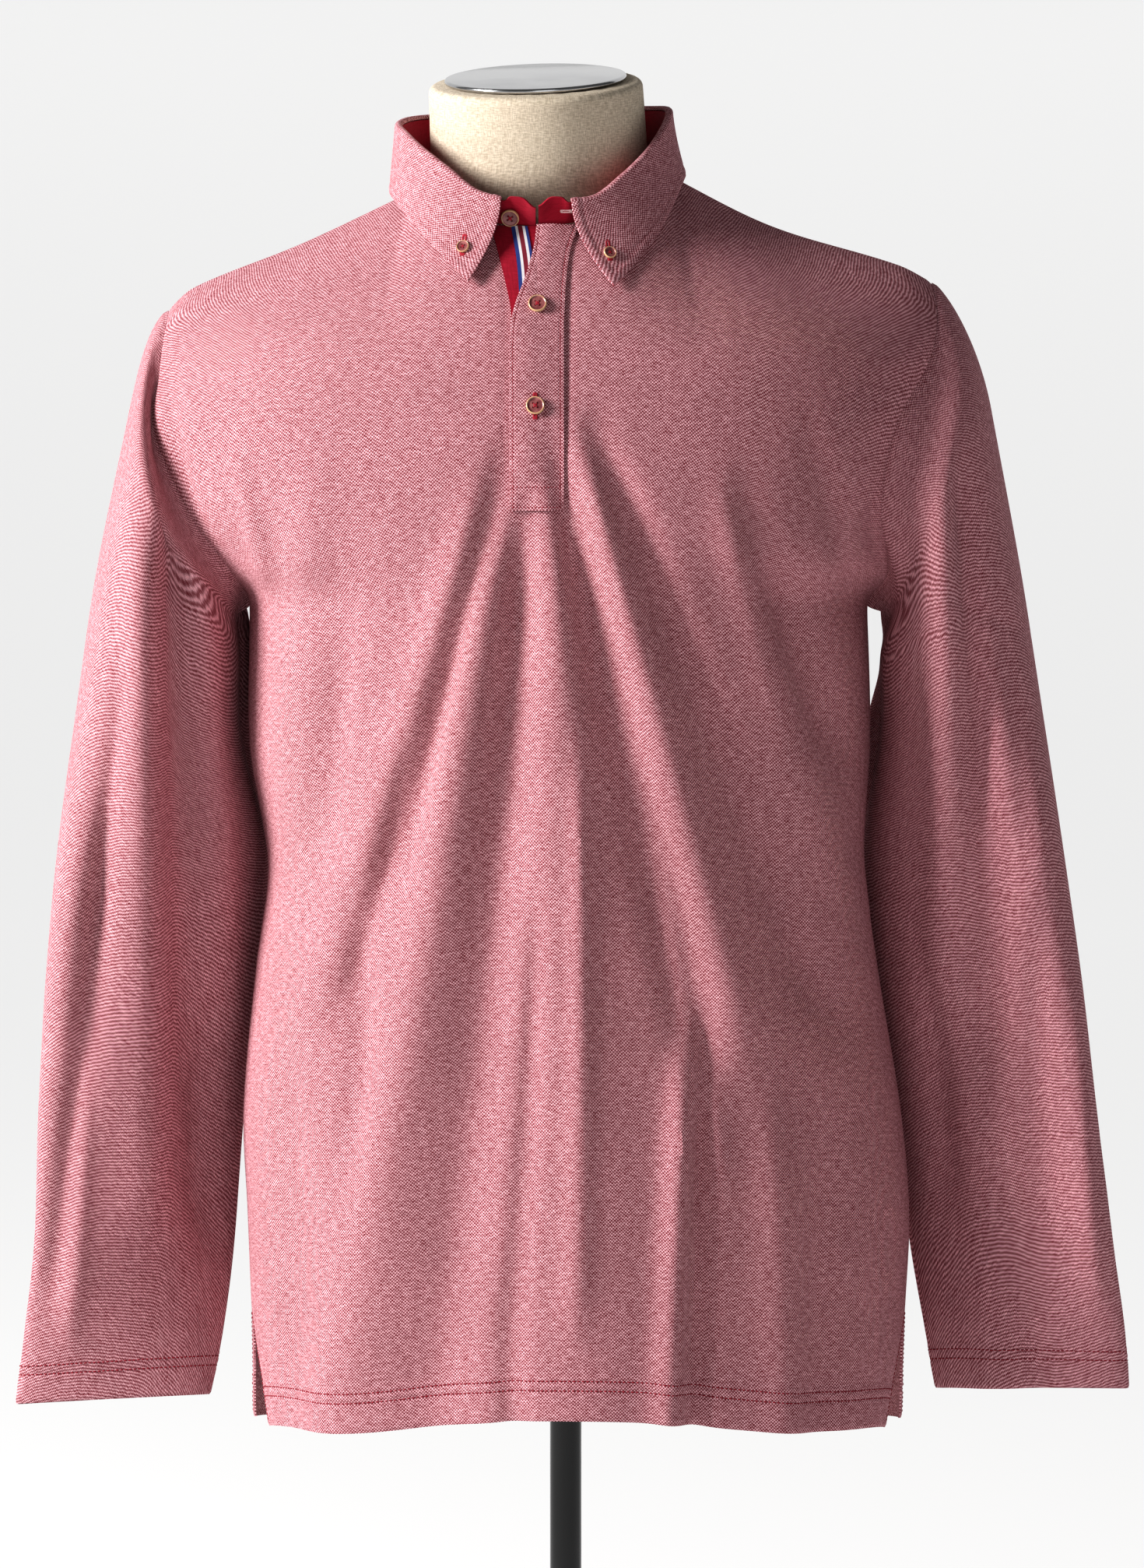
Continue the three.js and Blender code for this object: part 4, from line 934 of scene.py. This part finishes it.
front_piece = cloth_piece(
    "front_cloth", "front", front_sheet, 0, -CLOTH_THICK, PIQUE, "pique", keep=outside_slit
)
back_piece = cloth_piece("back_cloth", "back", back_sheet, 0, -CLOTH_THICK, PIQUE, "pique")


# Sleeves
LIP_DROP, LIP_LONG = 2.0, 3.0


def sleeve_relief(sheet):
    _, v = armhole(np.mod(sheet.u, 1), True)
    return hem_relief(sheet.y[-1:] - sheet.y) - 1.0 * bump(sheet.y, 2.4) * smooth_armhole(v)


def add_lip(sheet, is_left):
    """A seam's allowance: the first edge drops below the cloth and runs on under the panels."""
    first, out = sheet.point[:1], seam_out(sheet.u[:1], is_left)
    away = first - sheet.point[1:2]
    away = unit(away - out * np.sum(away * out, axis=-1, keepdims=True))
    under = first - out * LIP_DROP
    sheet.point = np.concatenate([under + away * LIP_LONG, under, sheet.point])
    sheet.y = np.concatenate([sheet.y[:1] - LIP_DROP - LIP_LONG, sheet.y[:1] - LIP_DROP, sheet.y])
    for name in ("x", "u", "v", "normal"):
        grid = getattr(sheet, name)
        setattr(sheet, name, np.concatenate([grid[:1], grid[:1], grid]))
    step = sheet.vs[1] - sheet.vs[0]
    sheet.vs = np.concatenate([sheet.vs[0] - step * np.array([2, 1]), sheet.vs])


cuff_rows = 1 - np.arange(34)[::-1] * 0.00145
sleeve_steps = SLEEVE_GAP + (cuff_rows[0] - SLEEVE_GAP) * np.linspace(0, 1, 210)[:-1] ** 1.1
sleeve_steps = np.concatenate([sleeve_steps, cuff_rows])
sleeve_turns = np.linspace(0, 1, 109)
sleeve_sheets, sleeve_pieces = {}, {}
for side, rows, folds, is_left in (
    ("left", SLEEVE_RIGHT, SLEEVE_RIGHT_FOLDS, False),
    ("right", SLEEVE_LEFT, SLEEVE_LEFT_FOLDS, True),
):
    sheet = Sheet(sleeve_surface(rows, folds, is_left), sleeve_turns, sleeve_steps, sleeve_relief)
    add_lip(sheet, is_left)
    sleeve_sheets[side] = sheet
    node = f"sleeve_{side}"
    sleeve_pieces[side] = cloth_piece(
        node + "_cloth", node, sheet, 0, -CLOTH_THICK, PIQUE, "pique", round_=True
    )

# Plackets and ribbon, as strips on the front
STRIPS_UP = 1031.0  # where the strips are measured down from
PLACKET_OUTER = table(
    "down left right",
    (0.2, -18.3, 8.1),
    (15, -20.5, 3),
    (33, -25.5, 0.5),
    (49, -31.5, -0.5),
    (65, -35, -1),
    (103, -35.5, -1),
    (141, -35.5, -1),
    (179, -35.5, -1),
)
PLACKET_UNDER = table(
    "down left right",
    (0.3, -46.8, -18.2),
    (17, -42.5, -14),
    (35, -38, -12),
    (53, -34.5, -10),
    (103, -33, -8),
    (141, -33, -8),
    (173, -33, -8),
)
RIBBON_TAPE = table(
    "down left right",
    (0.6, -34.3, -24),
    (21, -31, -20.8),
    (39, -29.5, -19.3),
    (57, -29, -18.8),
)


def strip_surface(rows):
    """A strip down the front: u from its left edge, 0, to its right edge, 1, and v downwards."""

    def at(u, v):
        down = lerp(rows["down"][0], rows["down"][-1], v)
        row = row_at(rows, "down", down)
        u_on, v_on = locate(front_sight, lerp(row["left"], row["right"], u), STRIPS_UP - down, (0.02, 0.85))
        return front(u_on, v_on)

    return at


def placket_lift(sheet):
    """The outer layer lies over the inner at its left edge, and is sewn down at its right and its foot."""
    sewn_foot = smooth(0.86, 0.93, sheet.v)
    over = lerp(2.3, 0.35, smooth(0.25, 1.0, sheet.u))
    return lerp(over, 0.35, sewn_foot)


def placket_relief(sheet):
    left, right = sheet.x - sheet.x[:, :1], sheet.x[:, -1:] - sheet.x
    puff = 0.35 * smooth(0, 1.6, np.minimum(left, right))
    return placket_lift(sheet) + puff - 0.3 * bump(left - 2.2, 0.8) - 0.3 * bump(right - 2.2, 0.8)


def strip_sheet(rows, columns, count, relief):
    return Sheet(strip_surface(rows), np.linspace(0, 1, columns), np.linspace(0, 1, count), relief)


under_sheet = strip_sheet(PLACKET_UNDER, 22, 90, lambda s: 0.35)
ribbon_sheet = strip_sheet(RIBBON_TAPE, 14, 40, lambda s: 1.25)
outer_sheet = strip_sheet(PLACKET_OUTER, 46, 200, placket_relief)
under_piece = cloth_piece(
    "under_placket", "placket_under", under_sheet, 0.8, 0, CRIMSON, "crimson_twill"
)
ribbon_piece = cloth_piece("ribbon_strip", "ribbon_tape", ribbon_sheet, 0.45, 0, RIBBON, "ribbon")
outer_piece = cloth_piece("outer_placket", "placket_outer", outer_sheet, 1.0, 0, PIQUE, "pique")


# Collar
LEAF_SEWN = 6  # from the leaf's edge to its row of stitches


def leaf_relief(sheet):
    """A row of stitches pressed in, a rounded edge, and a slight swell between the two."""
    edge = leaf_edge_distance(sheet)
    swell = 0.2 * smooth(1, 3, edge) * (1 - smooth(5, 6, edge))
    return -0.3 * bump(edge - LEAF_SEWN, 0.9) - 0.35 * bump(edge, 1.2) + swell


def leaf_edge_distance(sheet):
    return np.minimum(sheet.y[-1:] - sheet.y, edge_distance(sheet))


leaf_down = np.concatenate([np.linspace(0, LEAF_TURN, 9)[:-1], np.linspace(LEAF_TURN, 1, 44)])
leaf_sheet = Sheet(leaf, np.linspace(-1, 1, 321), leaf_down, leaf_relief)
stand_sheet = Sheet(stand, np.linspace(-1, 1, 321), np.linspace(0, 1, 22))
leaf_piece = cloth_piece("collar_leaf", "collar", leaf_sheet, 0.75, -0.75, PIQUE, "pique")
stand_piece = cloth_piece(
    "neck_band", "collar_stand", stand_sheet, 0.6, -0.6, CRIMSON, "crimson_twill"
)


# Stitches
def thread_shape(sides=6):
    """One stitch along X, a unit long and a unit thick: a thread that dips into the cloth at both ends."""
    rings = [(-0.36, 0.8, -0.1), (0.0, 1.0, 0.15), (0.36, 0.8, -0.1)]
    points = [(-0.5, 0, -0.6)]
    for x, radius, z in rings:
        for k in range(sides):
            a = 2 * math.pi * k / sides
            points.append((x, 0.5 * radius * math.cos(a), 0.5 * radius * math.sin(a) + z))
    points.append((0.5, 0, -0.6))
    last = len(points) - 1
    faces = []
    for k in range(sides):
        m = (k + 1) % sides
        faces.append((0, 1 + m, 1 + k, 1 + k))
        for r in range(len(rings) - 1):
            a, b = 1 + r * sides, 1 + (r + 1) * sides
            faces.append((a + k, a + m, b + m, b + k))
        a = 1 + (len(rings) - 1) * sides
        faces.append((a + k, a + m, last, last))
    return np.array(points), faces


THREAD_POINTS, THREAD_FACES = thread_shape()


def threads(name, centres, along, out, lengths, thick, material):
    """Many threads in one piece, each at a centre, along a direction, lying on the cloth."""
    along, out = unit(along), unit(out)
    side = unit(np.cross(out, along))
    lengths = np.broadcast_to(lengths, (len(centres),))[:, None, None]
    x, y, z = (THREAD_POINTS[None, :, k : k + 1] for k in range(3))
    points = (
        centres[:, None] + along[:, None] * x * lengths + side[:, None] * y * thick + out[:, None] * z * thick
    ).reshape(-1, 3)
    size = len(THREAD_POINTS)
    faces = [
        tuple(dict.fromkeys(size * i + corner for corner in face))
        for i in range(len(centres))
        for face in THREAD_FACES
    ]
    return finish_piece(name, shade_smooth(mesh_of(name, points, faces)), material)


def along_line(sheet, u, v, pitch, lift):
    """Places for stitches a pitch apart along a line of u and v on a sheet."""
    point, out = sheet.find(u, v)
    run = np.concatenate([[0], np.cumsum(np.linalg.norm(np.diff(point, axis=0), axis=-1))])
    count = max(int(run[-1] / pitch), 2)
    at = (np.arange(count) + 0.5) * run[-1] / count
    here, out_here = sheet.find(np.interp(at, run, u), np.interp(at, run, v))
    step = run[-1] / count * 0.35
    ahead, _ = sheet.find(np.interp(at + step, run, u), np.interp(at + step, run, v))
    behind, _ = sheet.find(np.interp(at - step, run, u), np.interp(at - step, run, v))
    return here + out_here * lift, ahead - behind, out_here


def sew(name, sheet, lines, pitch=2.8, length=2.5, thick=0.9, lift=0.0):
    found = [along_line(sheet, u, v, pitch, lift) for u, v in lines]
    centres, along, out = (np.concatenate(group) for group in zip(*found))
    return threads(name, centres, along, out, length, thick, SEAM_THREAD)


def line_up(sheet, distance, u_low, u_high, from_top=False):
    """A line across a sheet at a distance from its first or last row."""
    u = np.linspace(u_low, u_high, 160)
    columns = np.interp(u, sheet.us, np.arange(len(sheet.us)))
    v = []
    for c in columns:
        j = min(int(c), len(sheet.us) - 2)
        y = lerp(sheet.y[:, j], sheet.y[:, j + 1], c - j)
        v.append(np.interp(y[-1] - distance if from_top else distance, y, sheet.vs))
    return u, np.array(v)


def line_side(sheet, distance, v_low, v_high, from_right=False):
    """A line down a sheet at a distance from its left or right edge."""
    v = np.linspace(v_low, v_high, 120)
    u = []
    for r in np.interp(v, sheet.vs, np.arange(len(sheet.vs))):
        i = min(int(r), len(sheet.vs) - 2)
        x = lerp(sheet.x[i], sheet.x[i + 1], r - i)
        u.append(np.interp(x[-1] - distance if from_right else x[0] + distance, x, sheet.us))
    return np.array(u), v


hem_lines = [HEM_DEEP, HEM_DEEP - TWIN_GAP]


def sew_panel(name, sheet):
    """Two rows round the hem, and one up each side of the vents."""
    lines = [line_up(sheet, d, -0.985, 0.985) for d in hem_lines]
    return sew(name, sheet, lines + [line_side(sheet, 6, 0.004, 0.09, right) for right in (False, True)])


front_sewing = sew_panel("front_stitches", front_sheet)
back_sewing = sew_panel("back_stitches", back_sheet)
sleeve_sewing = {
    side: sew(f"sleeve_{side}_stitches", sheet, [line_up(sheet, d, 0, 1, True) for d in hem_lines])
    for side, sheet in sleeve_sheets.items()
}
placket_sewing = sew(
    "placket_stitches", outer_sheet,
    [line_side(outer_sheet, 2.2, 0.01, 0.995), line_side(outer_sheet, 2.2, 0.01, 0.995, True),
     line_up(outer_sheet, 2, 0.04, 0.96, True), line_up(outer_sheet, 14, 0.04, 0.96, True)],
    pitch=2.2, length=1.8, thick=0.55, lift=1.0,
)
leaf_lines = [line_up(leaf_sheet, LEAF_SEWN, -0.97, 0.97, True)] + [
    line_side(leaf_sheet, LEAF_SEWN, 0.3, 0.86, right) for right in (False, True)
]
leaf_sewing = sew(
    "collar_stitches", leaf_sheet, leaf_lines, pitch=2.3, length=1.8, thick=0.34, lift=0.66
)


# Buttons and buttonholes
def frame_on(point, out):
    """A matrix whose Z is the way out of the cloth and whose Y runs up it, in metres."""
    out = Vector(out).normalized()
    right = Vector((0, 0, 1)).cross(out).normalized()
    upward = out.cross(right)
    matrix = Matrix((right, upward, out)).transposed().to_4x4()
    matrix.translation = Vector(point) * MM
    return matrix


def lathe(name, profile, segments):
    """A closed turned shape about Z from (radius, height) pairs that start and end on the axis, in mm."""
    angles = np.linspace(0, 2 * math.pi, segments, endpoint=False)
    points, rings = [], []
    for radius, height in profile:
        if radius == 0:
            rings.append([len(points)] * segments)
            points.append((0, 0, height))
        else:
            rings.append(list(range(len(points), len(points) + segments)))
            points += [(radius * math.cos(a), radius * math.sin(a), height) for a in angles]
    faces = []
    for low, high in zip(rings, rings[1:]):
        for k in range(segments):
            m = (k + 1) % segments
            faces.append(tuple(dict.fromkeys((low[k], low[m], high[m], high[k]))))
    mesh = mesh_of(name, points, faces)
    outline = max(radius for radius, _ in profile)
    corners = np.array([mesh.vertices[loop.vertex_index].co[:] for loop in mesh.loops]) / MM
    radii = np.linalg.norm(corners[:, :2], axis=1) / outline
    lay_weave(mesh, np.stack([radii, corners[:, 2]], -1))
    return shade_smooth(mesh, TURNED_SHARP)


HOLES_OUT = 0.23  # how far out a button's holes are along both axes, as a share of its radius


def button_mesh(name, radius, thick):
    """A turned button with a raised rim, a dished middle and four holes through it."""
    rim = radius * 0.2
    low = thick * 0.66
    profile = [
        (0, 0), (radius * 0.86, 0), (radius * 0.97, thick * 0.2), (radius, thick * 0.45),
        (radius * 0.985, thick * 0.75), (radius * 0.95, thick * 0.93), (radius - rim * 0.5, thick),
        (radius - rim * 0.85, thick * 0.93), (radius - rim * 1.25, low * 1.05), (radius - rim * 2, low),
        (0, low),
    ]
    piece = bpy.data.objects.new(name, lathe(name, profile, 48))
    hole, away = radius * 0.115, radius * HOLES_OUT
    cutter_points, cutter_faces = [], []
    for cx, cy in ((away, away), (-away, away), (away, -away), (-away, -away)):
        start, sides = len(cutter_points), 12
        for z in (-1.0, thick + 1):
            for k in range(sides):
                a = 2 * math.pi * k / sides
                cutter_points.append((cx + hole * math.cos(a), cy + hole * math.sin(a), z))
        cutter_faces.append([start + k for k in range(sides)][::-1])
        cutter_faces.append([start + sides + k for k in range(sides)])
        for k in range(sides):
            m = (k + 1) % sides
            cutter_faces.append([start + k, start + m, start + sides + m, start + sides + k])
    cutter = bpy.data.objects.new("cutter", mesh_of("cutter", cutter_points, cutter_faces))
    for each in (piece, cutter):
        bpy.context.scene.collection.objects.link(each)
    cut = piece.modifiers.new("holes", "BOOLEAN")
    cut.object, cut.operation, cut.solver = cutter, "DIFFERENCE", "EXACT"
    made = bpy.data.meshes.new_from_object(piece.evaluated_get(bpy.context.evaluated_depsgraph_get()))
    for each in (piece, cutter):
        bpy.data.objects.remove(each)
    return shade_smooth(made, TURNED_SHARP)


def on_sheet(sheet, sight, across, up, guess, lift):
    u, v = locate(sight, np.array([across]), np.array([up]), guess)
    point, out = sheet.find(u, v)
    return point[0] + out[0] * lift, out[0]


def on_strip(sheet, rows, across, up, lift):
    down = np.array([STRIPS_UP - up])
    row = row_at(rows, "down", down)
    u = (across - row["left"]) / (row["right"] - row["left"])
    point, out = sheet.find(u, (down - rows["down"][0]) / (rows["down"][-1] - rows["down"][0]))
    return point[0] + out[0] * lift, out[0]


def local_threads(name, matrix, bars, thick, material):
    """Threads given as (x, y, dx, dy, length) on a flat place that a matrix puts on the cloth."""
    bars = np.array(bars, float)
    turn = np.array(matrix.to_3x3())
    centre = np.array(matrix.translation) / MM
    flat = np.column_stack([bars[:, :2], np.zeros(len(bars))])
    along = np.column_stack([bars[:, 2:4], np.zeros(len(bars))]) @ turn.T
    out = np.broadcast_to(turn[:, 2], flat.shape)
    return threads(name, centre + flat @ turn.T, along, out, bars[:, 4], thick, material)


def buttonhole(name, matrix, length, width, material, upright=True):
    """Satin stitches down both sides of a slit, with a bar of stitches at each end."""
    pitch, half = 0.34, length / 2
    bars = []
    for s in np.arange(-half + 0.8, half - 0.8, pitch):
        for side in (-1, 1):
            bars.append((side * width * 0.27, s, 1, 0, width * 0.5))
    for end in (-1, 1):
        for k in range(5):
            bars.append((0, end * (half - 0.3 - k * 0.36), 1, 0, width * 1.15))
    if not upright:
        bars = [(y, x, dy, dx, size) for x, y, dx, dy, size in bars]
    return local_threads(name, matrix, bars, 0.42, material)


BODY_RADIUS, BODY_THICK, TIP_RADIUS, TIP_THICK = 5.65, 2.2, 4.0, 1.8
body_button = button_mesh("body_button", BODY_RADIUS, BODY_THICK)
tip_button = button_mesh("tip_button", TIP_RADIUS, TIP_THICK)
on_stand = on_sheet(stand_sheet, stand_sight, -34.8, 1037, (-0.93, 0.4), 0.95)
on_upper = on_strip(outer_sheet, PLACKET_OUTER, -17.6, 980.4, 1.3)
on_lower = on_strip(outer_sheet, PLACKET_OUTER, -19.1, 917, 1.3)
on_left_tip = on_sheet(leaf_sheet, leaf_sight, -64.2, 1017.6, (-0.95, 0.7), 1.1)
on_right_tip = on_sheet(leaf_sheet, leaf_sight, 27.4, 1013.7, (0.95, 0.7), 1.1)
button_sewing = []
for node, (point, out), mesh, radius, thick in (
    ("button_stand", on_stand, body_button, BODY_RADIUS, BODY_THICK),
    ("button_upper", on_upper, body_button, BODY_RADIUS, BODY_THICK),
    ("button_lower", on_lower, body_button, BODY_RADIUS, BODY_THICK),
    ("button_tip_right", on_left_tip, tip_button, TIP_RADIUS, TIP_THICK),
    ("button_tip_left", on_right_tip, tip_button, TIP_RADIUS, TIP_THICK),
):
    matrix = frame_on(point, out) @ Matrix.Rotation(rng.uniform(-0.25, 0.25), 4, "Z")
    made = mesh.copy()
    made.transform(matrix)
    made.materials.clear()
    finish_piece(node + "_turned", made, HORN, node)
    away = radius * HOLES_OUT
    high = matrix @ Matrix.Translation((0, 0, thick * 0.72 * MM))
    span = away * 2 * math.sqrt(2) * 1.12
    bars = [(0.16 * k, -0.16 * k * turn, 1, turn, span) for turn in (-1, 1) for k in (-1, 0, 1)]
    local_threads(node + "_thread", high, bars, radius * 0.075, THREAD)

for name, (point, out), sunk, length, width, shift in (
    ("hole_lower", on_lower, 0.2, 17, 3.0, 0),
    ("hole_left_tip", on_left_tip, 0.25, 15, 3.4, 1.6),
    ("hole_right_tip", on_right_tip, 0.25, 15, 3.4, 2.2),
):
    on_cloth = frame_on(point - out * sunk, out)
    buttonhole(name, on_cloth @ Matrix.Translation((0, shift * MM, 0)), length, width, THREAD)
hole_point, hole_out = on_sheet(stand_sheet, stand_sight, 0.2, 1040.6, (0.95, 0.4), 0.65)
buttonhole("hole_stand", frame_on(hole_point, hole_out), 8, 2.4, PALE_THREAD, upright=False)

# Dress form
FORM = table(
    "up left right front back",
    (352, -160, 172, -88, 76),
    (362, -166, 178, -94, 80),
    (420, -176, 188, -98, 80),
    (500, -174, 176, -98, 74),
    (620, -162, 160, -98, 70),
    (720, -170, 162, -104, 78),
    (800, -176, 166, -110, 90),
    (870, -188, 172, -111, 97),
    (930, -206, 186, -98, 95),
    (968, -210, 192, -72, 78),
    (990, -200, 188, -56, 66),
    (1006, -172, 168, -46, 56),
    (1022, -136.5, 123.5, -42, 46),
    (1038, -107.5, 83.5, -44, 48),
    (1054, -90, 53, -55, 57),
    (1072, -85, 52, -62, 59),
)
CAP = dict(radius=56.5, thick=3.2, across=-19, up=1124, depth=-9, lean=11, roll=1.9)
FORM_SIDES, NECK_WIDE, NECK_SEAM = 120, 66.5, 0.3
SUNK_UNDER_SHIRT = 1.5  # the smooth form is a little fuller than its flat-sided solid, so it is drawn in
cap_matrix = Matrix.Translation(Vector(place([CAP["across"], CAP["up"], CAP["depth"]])))
cap_lean = Matrix.Rotation(math.radians(90 + CAP["lean"]), 4, "X")
cap_matrix = cap_matrix @ (cap_lean @ Matrix.Rotation(math.radians(CAP["roll"]), 4, "Z"))


def form_ring(row, angles):
    center, rest = (row["left"] + row["right"]) / 2, 4
    drawn = SUNK_UNDER_SHIRT * (1 - smooth(1040, 1066, row["up"]))
    reach = np.where(np.cos(angles) < 0, row["front"] - rest + drawn, row["back"] - rest - drawn)
    depth = rest + reach * np.abs(np.cos(angles))
    half = (row["right"] - row["left"]) / 2 - drawn
    points = place(stack(center + half * np.sin(angles), row["up"], depth))
    points[:, 2] = place([0, row["up"], 0])[2]
    return points


def neck_ring(radius, below, angles):
    """A ring square to the cap, which leans forward and to one side."""
    turn, centre = np.array(cap_matrix.to_3x3()), np.array(cap_matrix.translation)
    local = stack(radius * np.sin(angles), -below, -radius * np.cos(angles))
    return local @ turn.T + centre


def loft(name, rings):
    """A closed skin over rings of points, with its lengths round and up for the weave."""
    rings = np.array(rings)
    count, sides = rings.shape[:2]
    k, r = np.meshgrid(np.arange(sides), np.arange(count - 1))
    m = (k + 1) % sides
    faces = np.stack([r * sides + k, r * sides + m, (r + 1) * sides + m, (r + 1) * sides + k], -1)
    around = np.concatenate([[0], np.cumsum(np.linalg.norm(np.diff(rings[count // 2], axis=0), axis=-1))])
    around = np.append(around, around[-1] + around[1])
    upward = np.concatenate([[0], np.cumsum(np.linalg.norm(np.diff(rings[:, 0], axis=0), axis=-1))])
    corners = ((0, 0), (0, 1), (1, 1), (1, 0))
    pairs = [np.stack([around[k + dk], upward[r + dr]], -1) for dr, dk in corners]
    pairs = np.stack(pairs, axis=2).reshape(-1, 2)
    ends = [list(range(sides))[::-1], list(range((count - 1) * sides, count * sides))]
    mesh = mesh_of(name, rings.reshape(-1, 3), faces.reshape(-1, 4).tolist() + ends)
    lay_weave(mesh, np.concatenate([pairs, np.zeros((2 * sides, 2))]))
    return shade_smooth(mesh, LOFT_SHARP)


form_angles = np.linspace(0, 2 * math.pi, FORM_SIDES, endpoint=False)
form_rings = []
for up in np.concatenate([np.linspace(352, 1054, 90), np.linspace(1058, 1072, 5)]):
    form_row = row_at(FORM, "up", np.float64(up))
    form_rings.append(form_ring({key: float(value) for key, value in form_row.items()}, form_angles))
neck_foot = form_rings[-1]
top_below = CAP["thick"] / 2 + NECK_SEAM
neck_low = neck_ring(NECK_WIDE, top_below + 5, form_angles)
for share in np.linspace(0, 1, 22)[1:]:
    form_rings.append(lerp(neck_foot, neck_low, share))
for a in np.linspace(0, math.pi / 2, 8)[1:]:
    rounded = NECK_WIDE - 4.5 * (1 - math.cos(a))
    form_rings.append(neck_ring(rounded, top_below + 5 - 4.6 * math.sin(a), form_angles))
PLEATS = 26
for radius, sink in ((59, 0.1), (56, 0.15), (50, 0.2), (30, 0.2), (8, 0.2)):
    pleat = 0.35 * np.maximum(np.sin(form_angles * PLEATS), 0) * bump(radius - 58, 4)
    form_rings.append(neck_ring(radius, top_below + sink - pleat, form_angles))
finish_piece("linen_form", loft("linen_form", form_rings), LINEN, "form_torso")

cap_under = [(0, -0.5), (0.965, -0.5), (0.985, -0.44), (0.996, -0.3), (1, -0.1)]
cap_edge = cap_under + [(x, -y) for x, y in reversed(cap_under)]
cap_mesh = lathe("cap_turned", [(x * CAP["radius"], y * CAP["thick"]) for x, y in cap_edge], 128)
cap_mesh.transform(Matrix.Rotation(math.radians(-90), 4, "X"))
cap_metres = cap_matrix.copy()
cap_metres.translation = cap_matrix.translation * MM
cap_mesh.transform(cap_metres)
finish_piece("cap_turned", cap_mesh, STEEL, "neck_cap")

pole_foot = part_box("pole")[0][2] / MM
pole_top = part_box("pole")[1][2] / MM
pole_profile = [(0, pole_foot), (9.5, pole_foot), (10, pole_foot + 0.5), (10, pole_top), (0, pole_top)]
finish_piece("pole_turned", lathe("pole_turned", pole_profile, 96), BLACK_GLOSS, "pole")
base_profile = [
    (0, 0), (149, 0), (150, 1), (150, 5.5), (149.4, 6.9), (148.4, 7.7), (147, 8), (13, 8),
    (12.4, 7.9), (0, 7.9),
]
finish_piece("base_turned", lathe("base_turned", base_profile, 160), BLACK_SATIN, "base")

# What the cloth was cut to: width and length where they are greatest, and area, all along the cloth.
PANELS = ["front_cloth", "back_cloth"]
SHEETS = (
    (front_piece, (0.59, 0.82), 0.415, "hung", ["linen_form"], [front_sewing]),
    (back_piece, (0.58, 0.85), 0.407, "hung", ["linen_form"], [back_sewing]),
    (sleeve_pieces["left"], (0.52, 0.72), 0.241, "hung", PANELS, [sleeve_sewing["left"]]),
    (sleeve_pieces["right"], (0.48, 0.71), 0.24, "hung", PANELS, [sleeve_sewing["right"]]),
    (outer_piece, (0.034, 0.185), 0.0056, "laid", ["front_cloth"], [placket_sewing]),
    (under_piece, (0.028, 0.18), 0.0044, "laid", ["front_cloth"], []),
    (ribbon_piece, (0.01, 0.063), 0.00062, "laid", ["under_placket"], []),
    (leaf_piece, (0.533, 0.065), 0.025, "folded", ["neck_band"], [leaf_sewing]),
    (stand_piece, (0.529, 0.038), 0.0144, "hung", PANELS, []),
)
for piece, flat, area, held, rests_on, with_pieces in SHEETS:
    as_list(rests_on)
    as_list(with_pieces)


# Floor and light
def backdrop():
    """A pale floor that curves up into a wall behind."""
    floor_end, bend, half = 5.0, 1.5, 12.0
    profile = [(-7.0, 0.0), (floor_end, 0.0)]
    for a in np.linspace(0, math.pi / 2, 14)[1:]:
        profile.append((floor_end + bend * math.sin(a), bend - bend * math.cos(a)))
    profile.append((floor_end + bend, 10.0))
    points = [(x, y, z) for y, z in profile for x in (-half, half)]
    faces = [(2 * i, 2 * i + 1, 2 * i + 3, 2 * i + 2) for i in range(len(profile) - 1)]
    mesh = bpy.data.meshes.new("backdrop")
    mesh.from_pydata(points, [], faces)
    shade_smooth(mesh)
    paint = Nodes("backdrop", Roughness=1.0, Specular_IOR_Level=0.0)
    paint.shader.inputs["Base Color"].default_value = (0.3, 0.3, 0.298, 1)
    paint.shader.inputs["Emission Color"].default_value = (1, 1, 1, 1)
    paint.shader.inputs["Emission Strength"].default_value = 0.5
    floor = link("backdrop", mesh, paint.material)
    floor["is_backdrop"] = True


backdrop()


def area_light(name, place_at, aim, size, power, color):
    data = bpy.data.lights.new(name, "AREA")
    data.shape, data.energy, data.color = "RECTANGLE", power, color
    data.size, data.size_y = size
    light = bpy.data.objects.new(name, data)
    light.location = place_at
    light.rotation_mode = "QUATERNION"
    light.rotation_quaternion = (Vector(aim) - Vector(place_at)).to_track_quat("-Z", "Y")
    bpy.context.scene.collection.objects.link(light)


area_light("key", (-2.7, -1.15, 1.9), (0, 0, 0.72), (0.8, 1.4), 128, (1.0, 0.99, 0.985))
area_light("fill", (0.6, -3.4, 1.4), (0, 0, 0.7), (1.6, 1.6), 9, (0.98, 0.985, 1.0))
world = bpy.data.worlds.new("studio")
world.use_nodes = True
world.node_tree.nodes["Background"].inputs[0].default_value = (1, 1, 1, 1)
world.node_tree.nodes["Background"].inputs[1].default_value = 0.1
bpy.context.scene.world = world
bpy.context.scene.view_settings.view_transform = "Standard"
bpy.context.scene.view_settings.look = "High Contrast"

low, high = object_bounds()
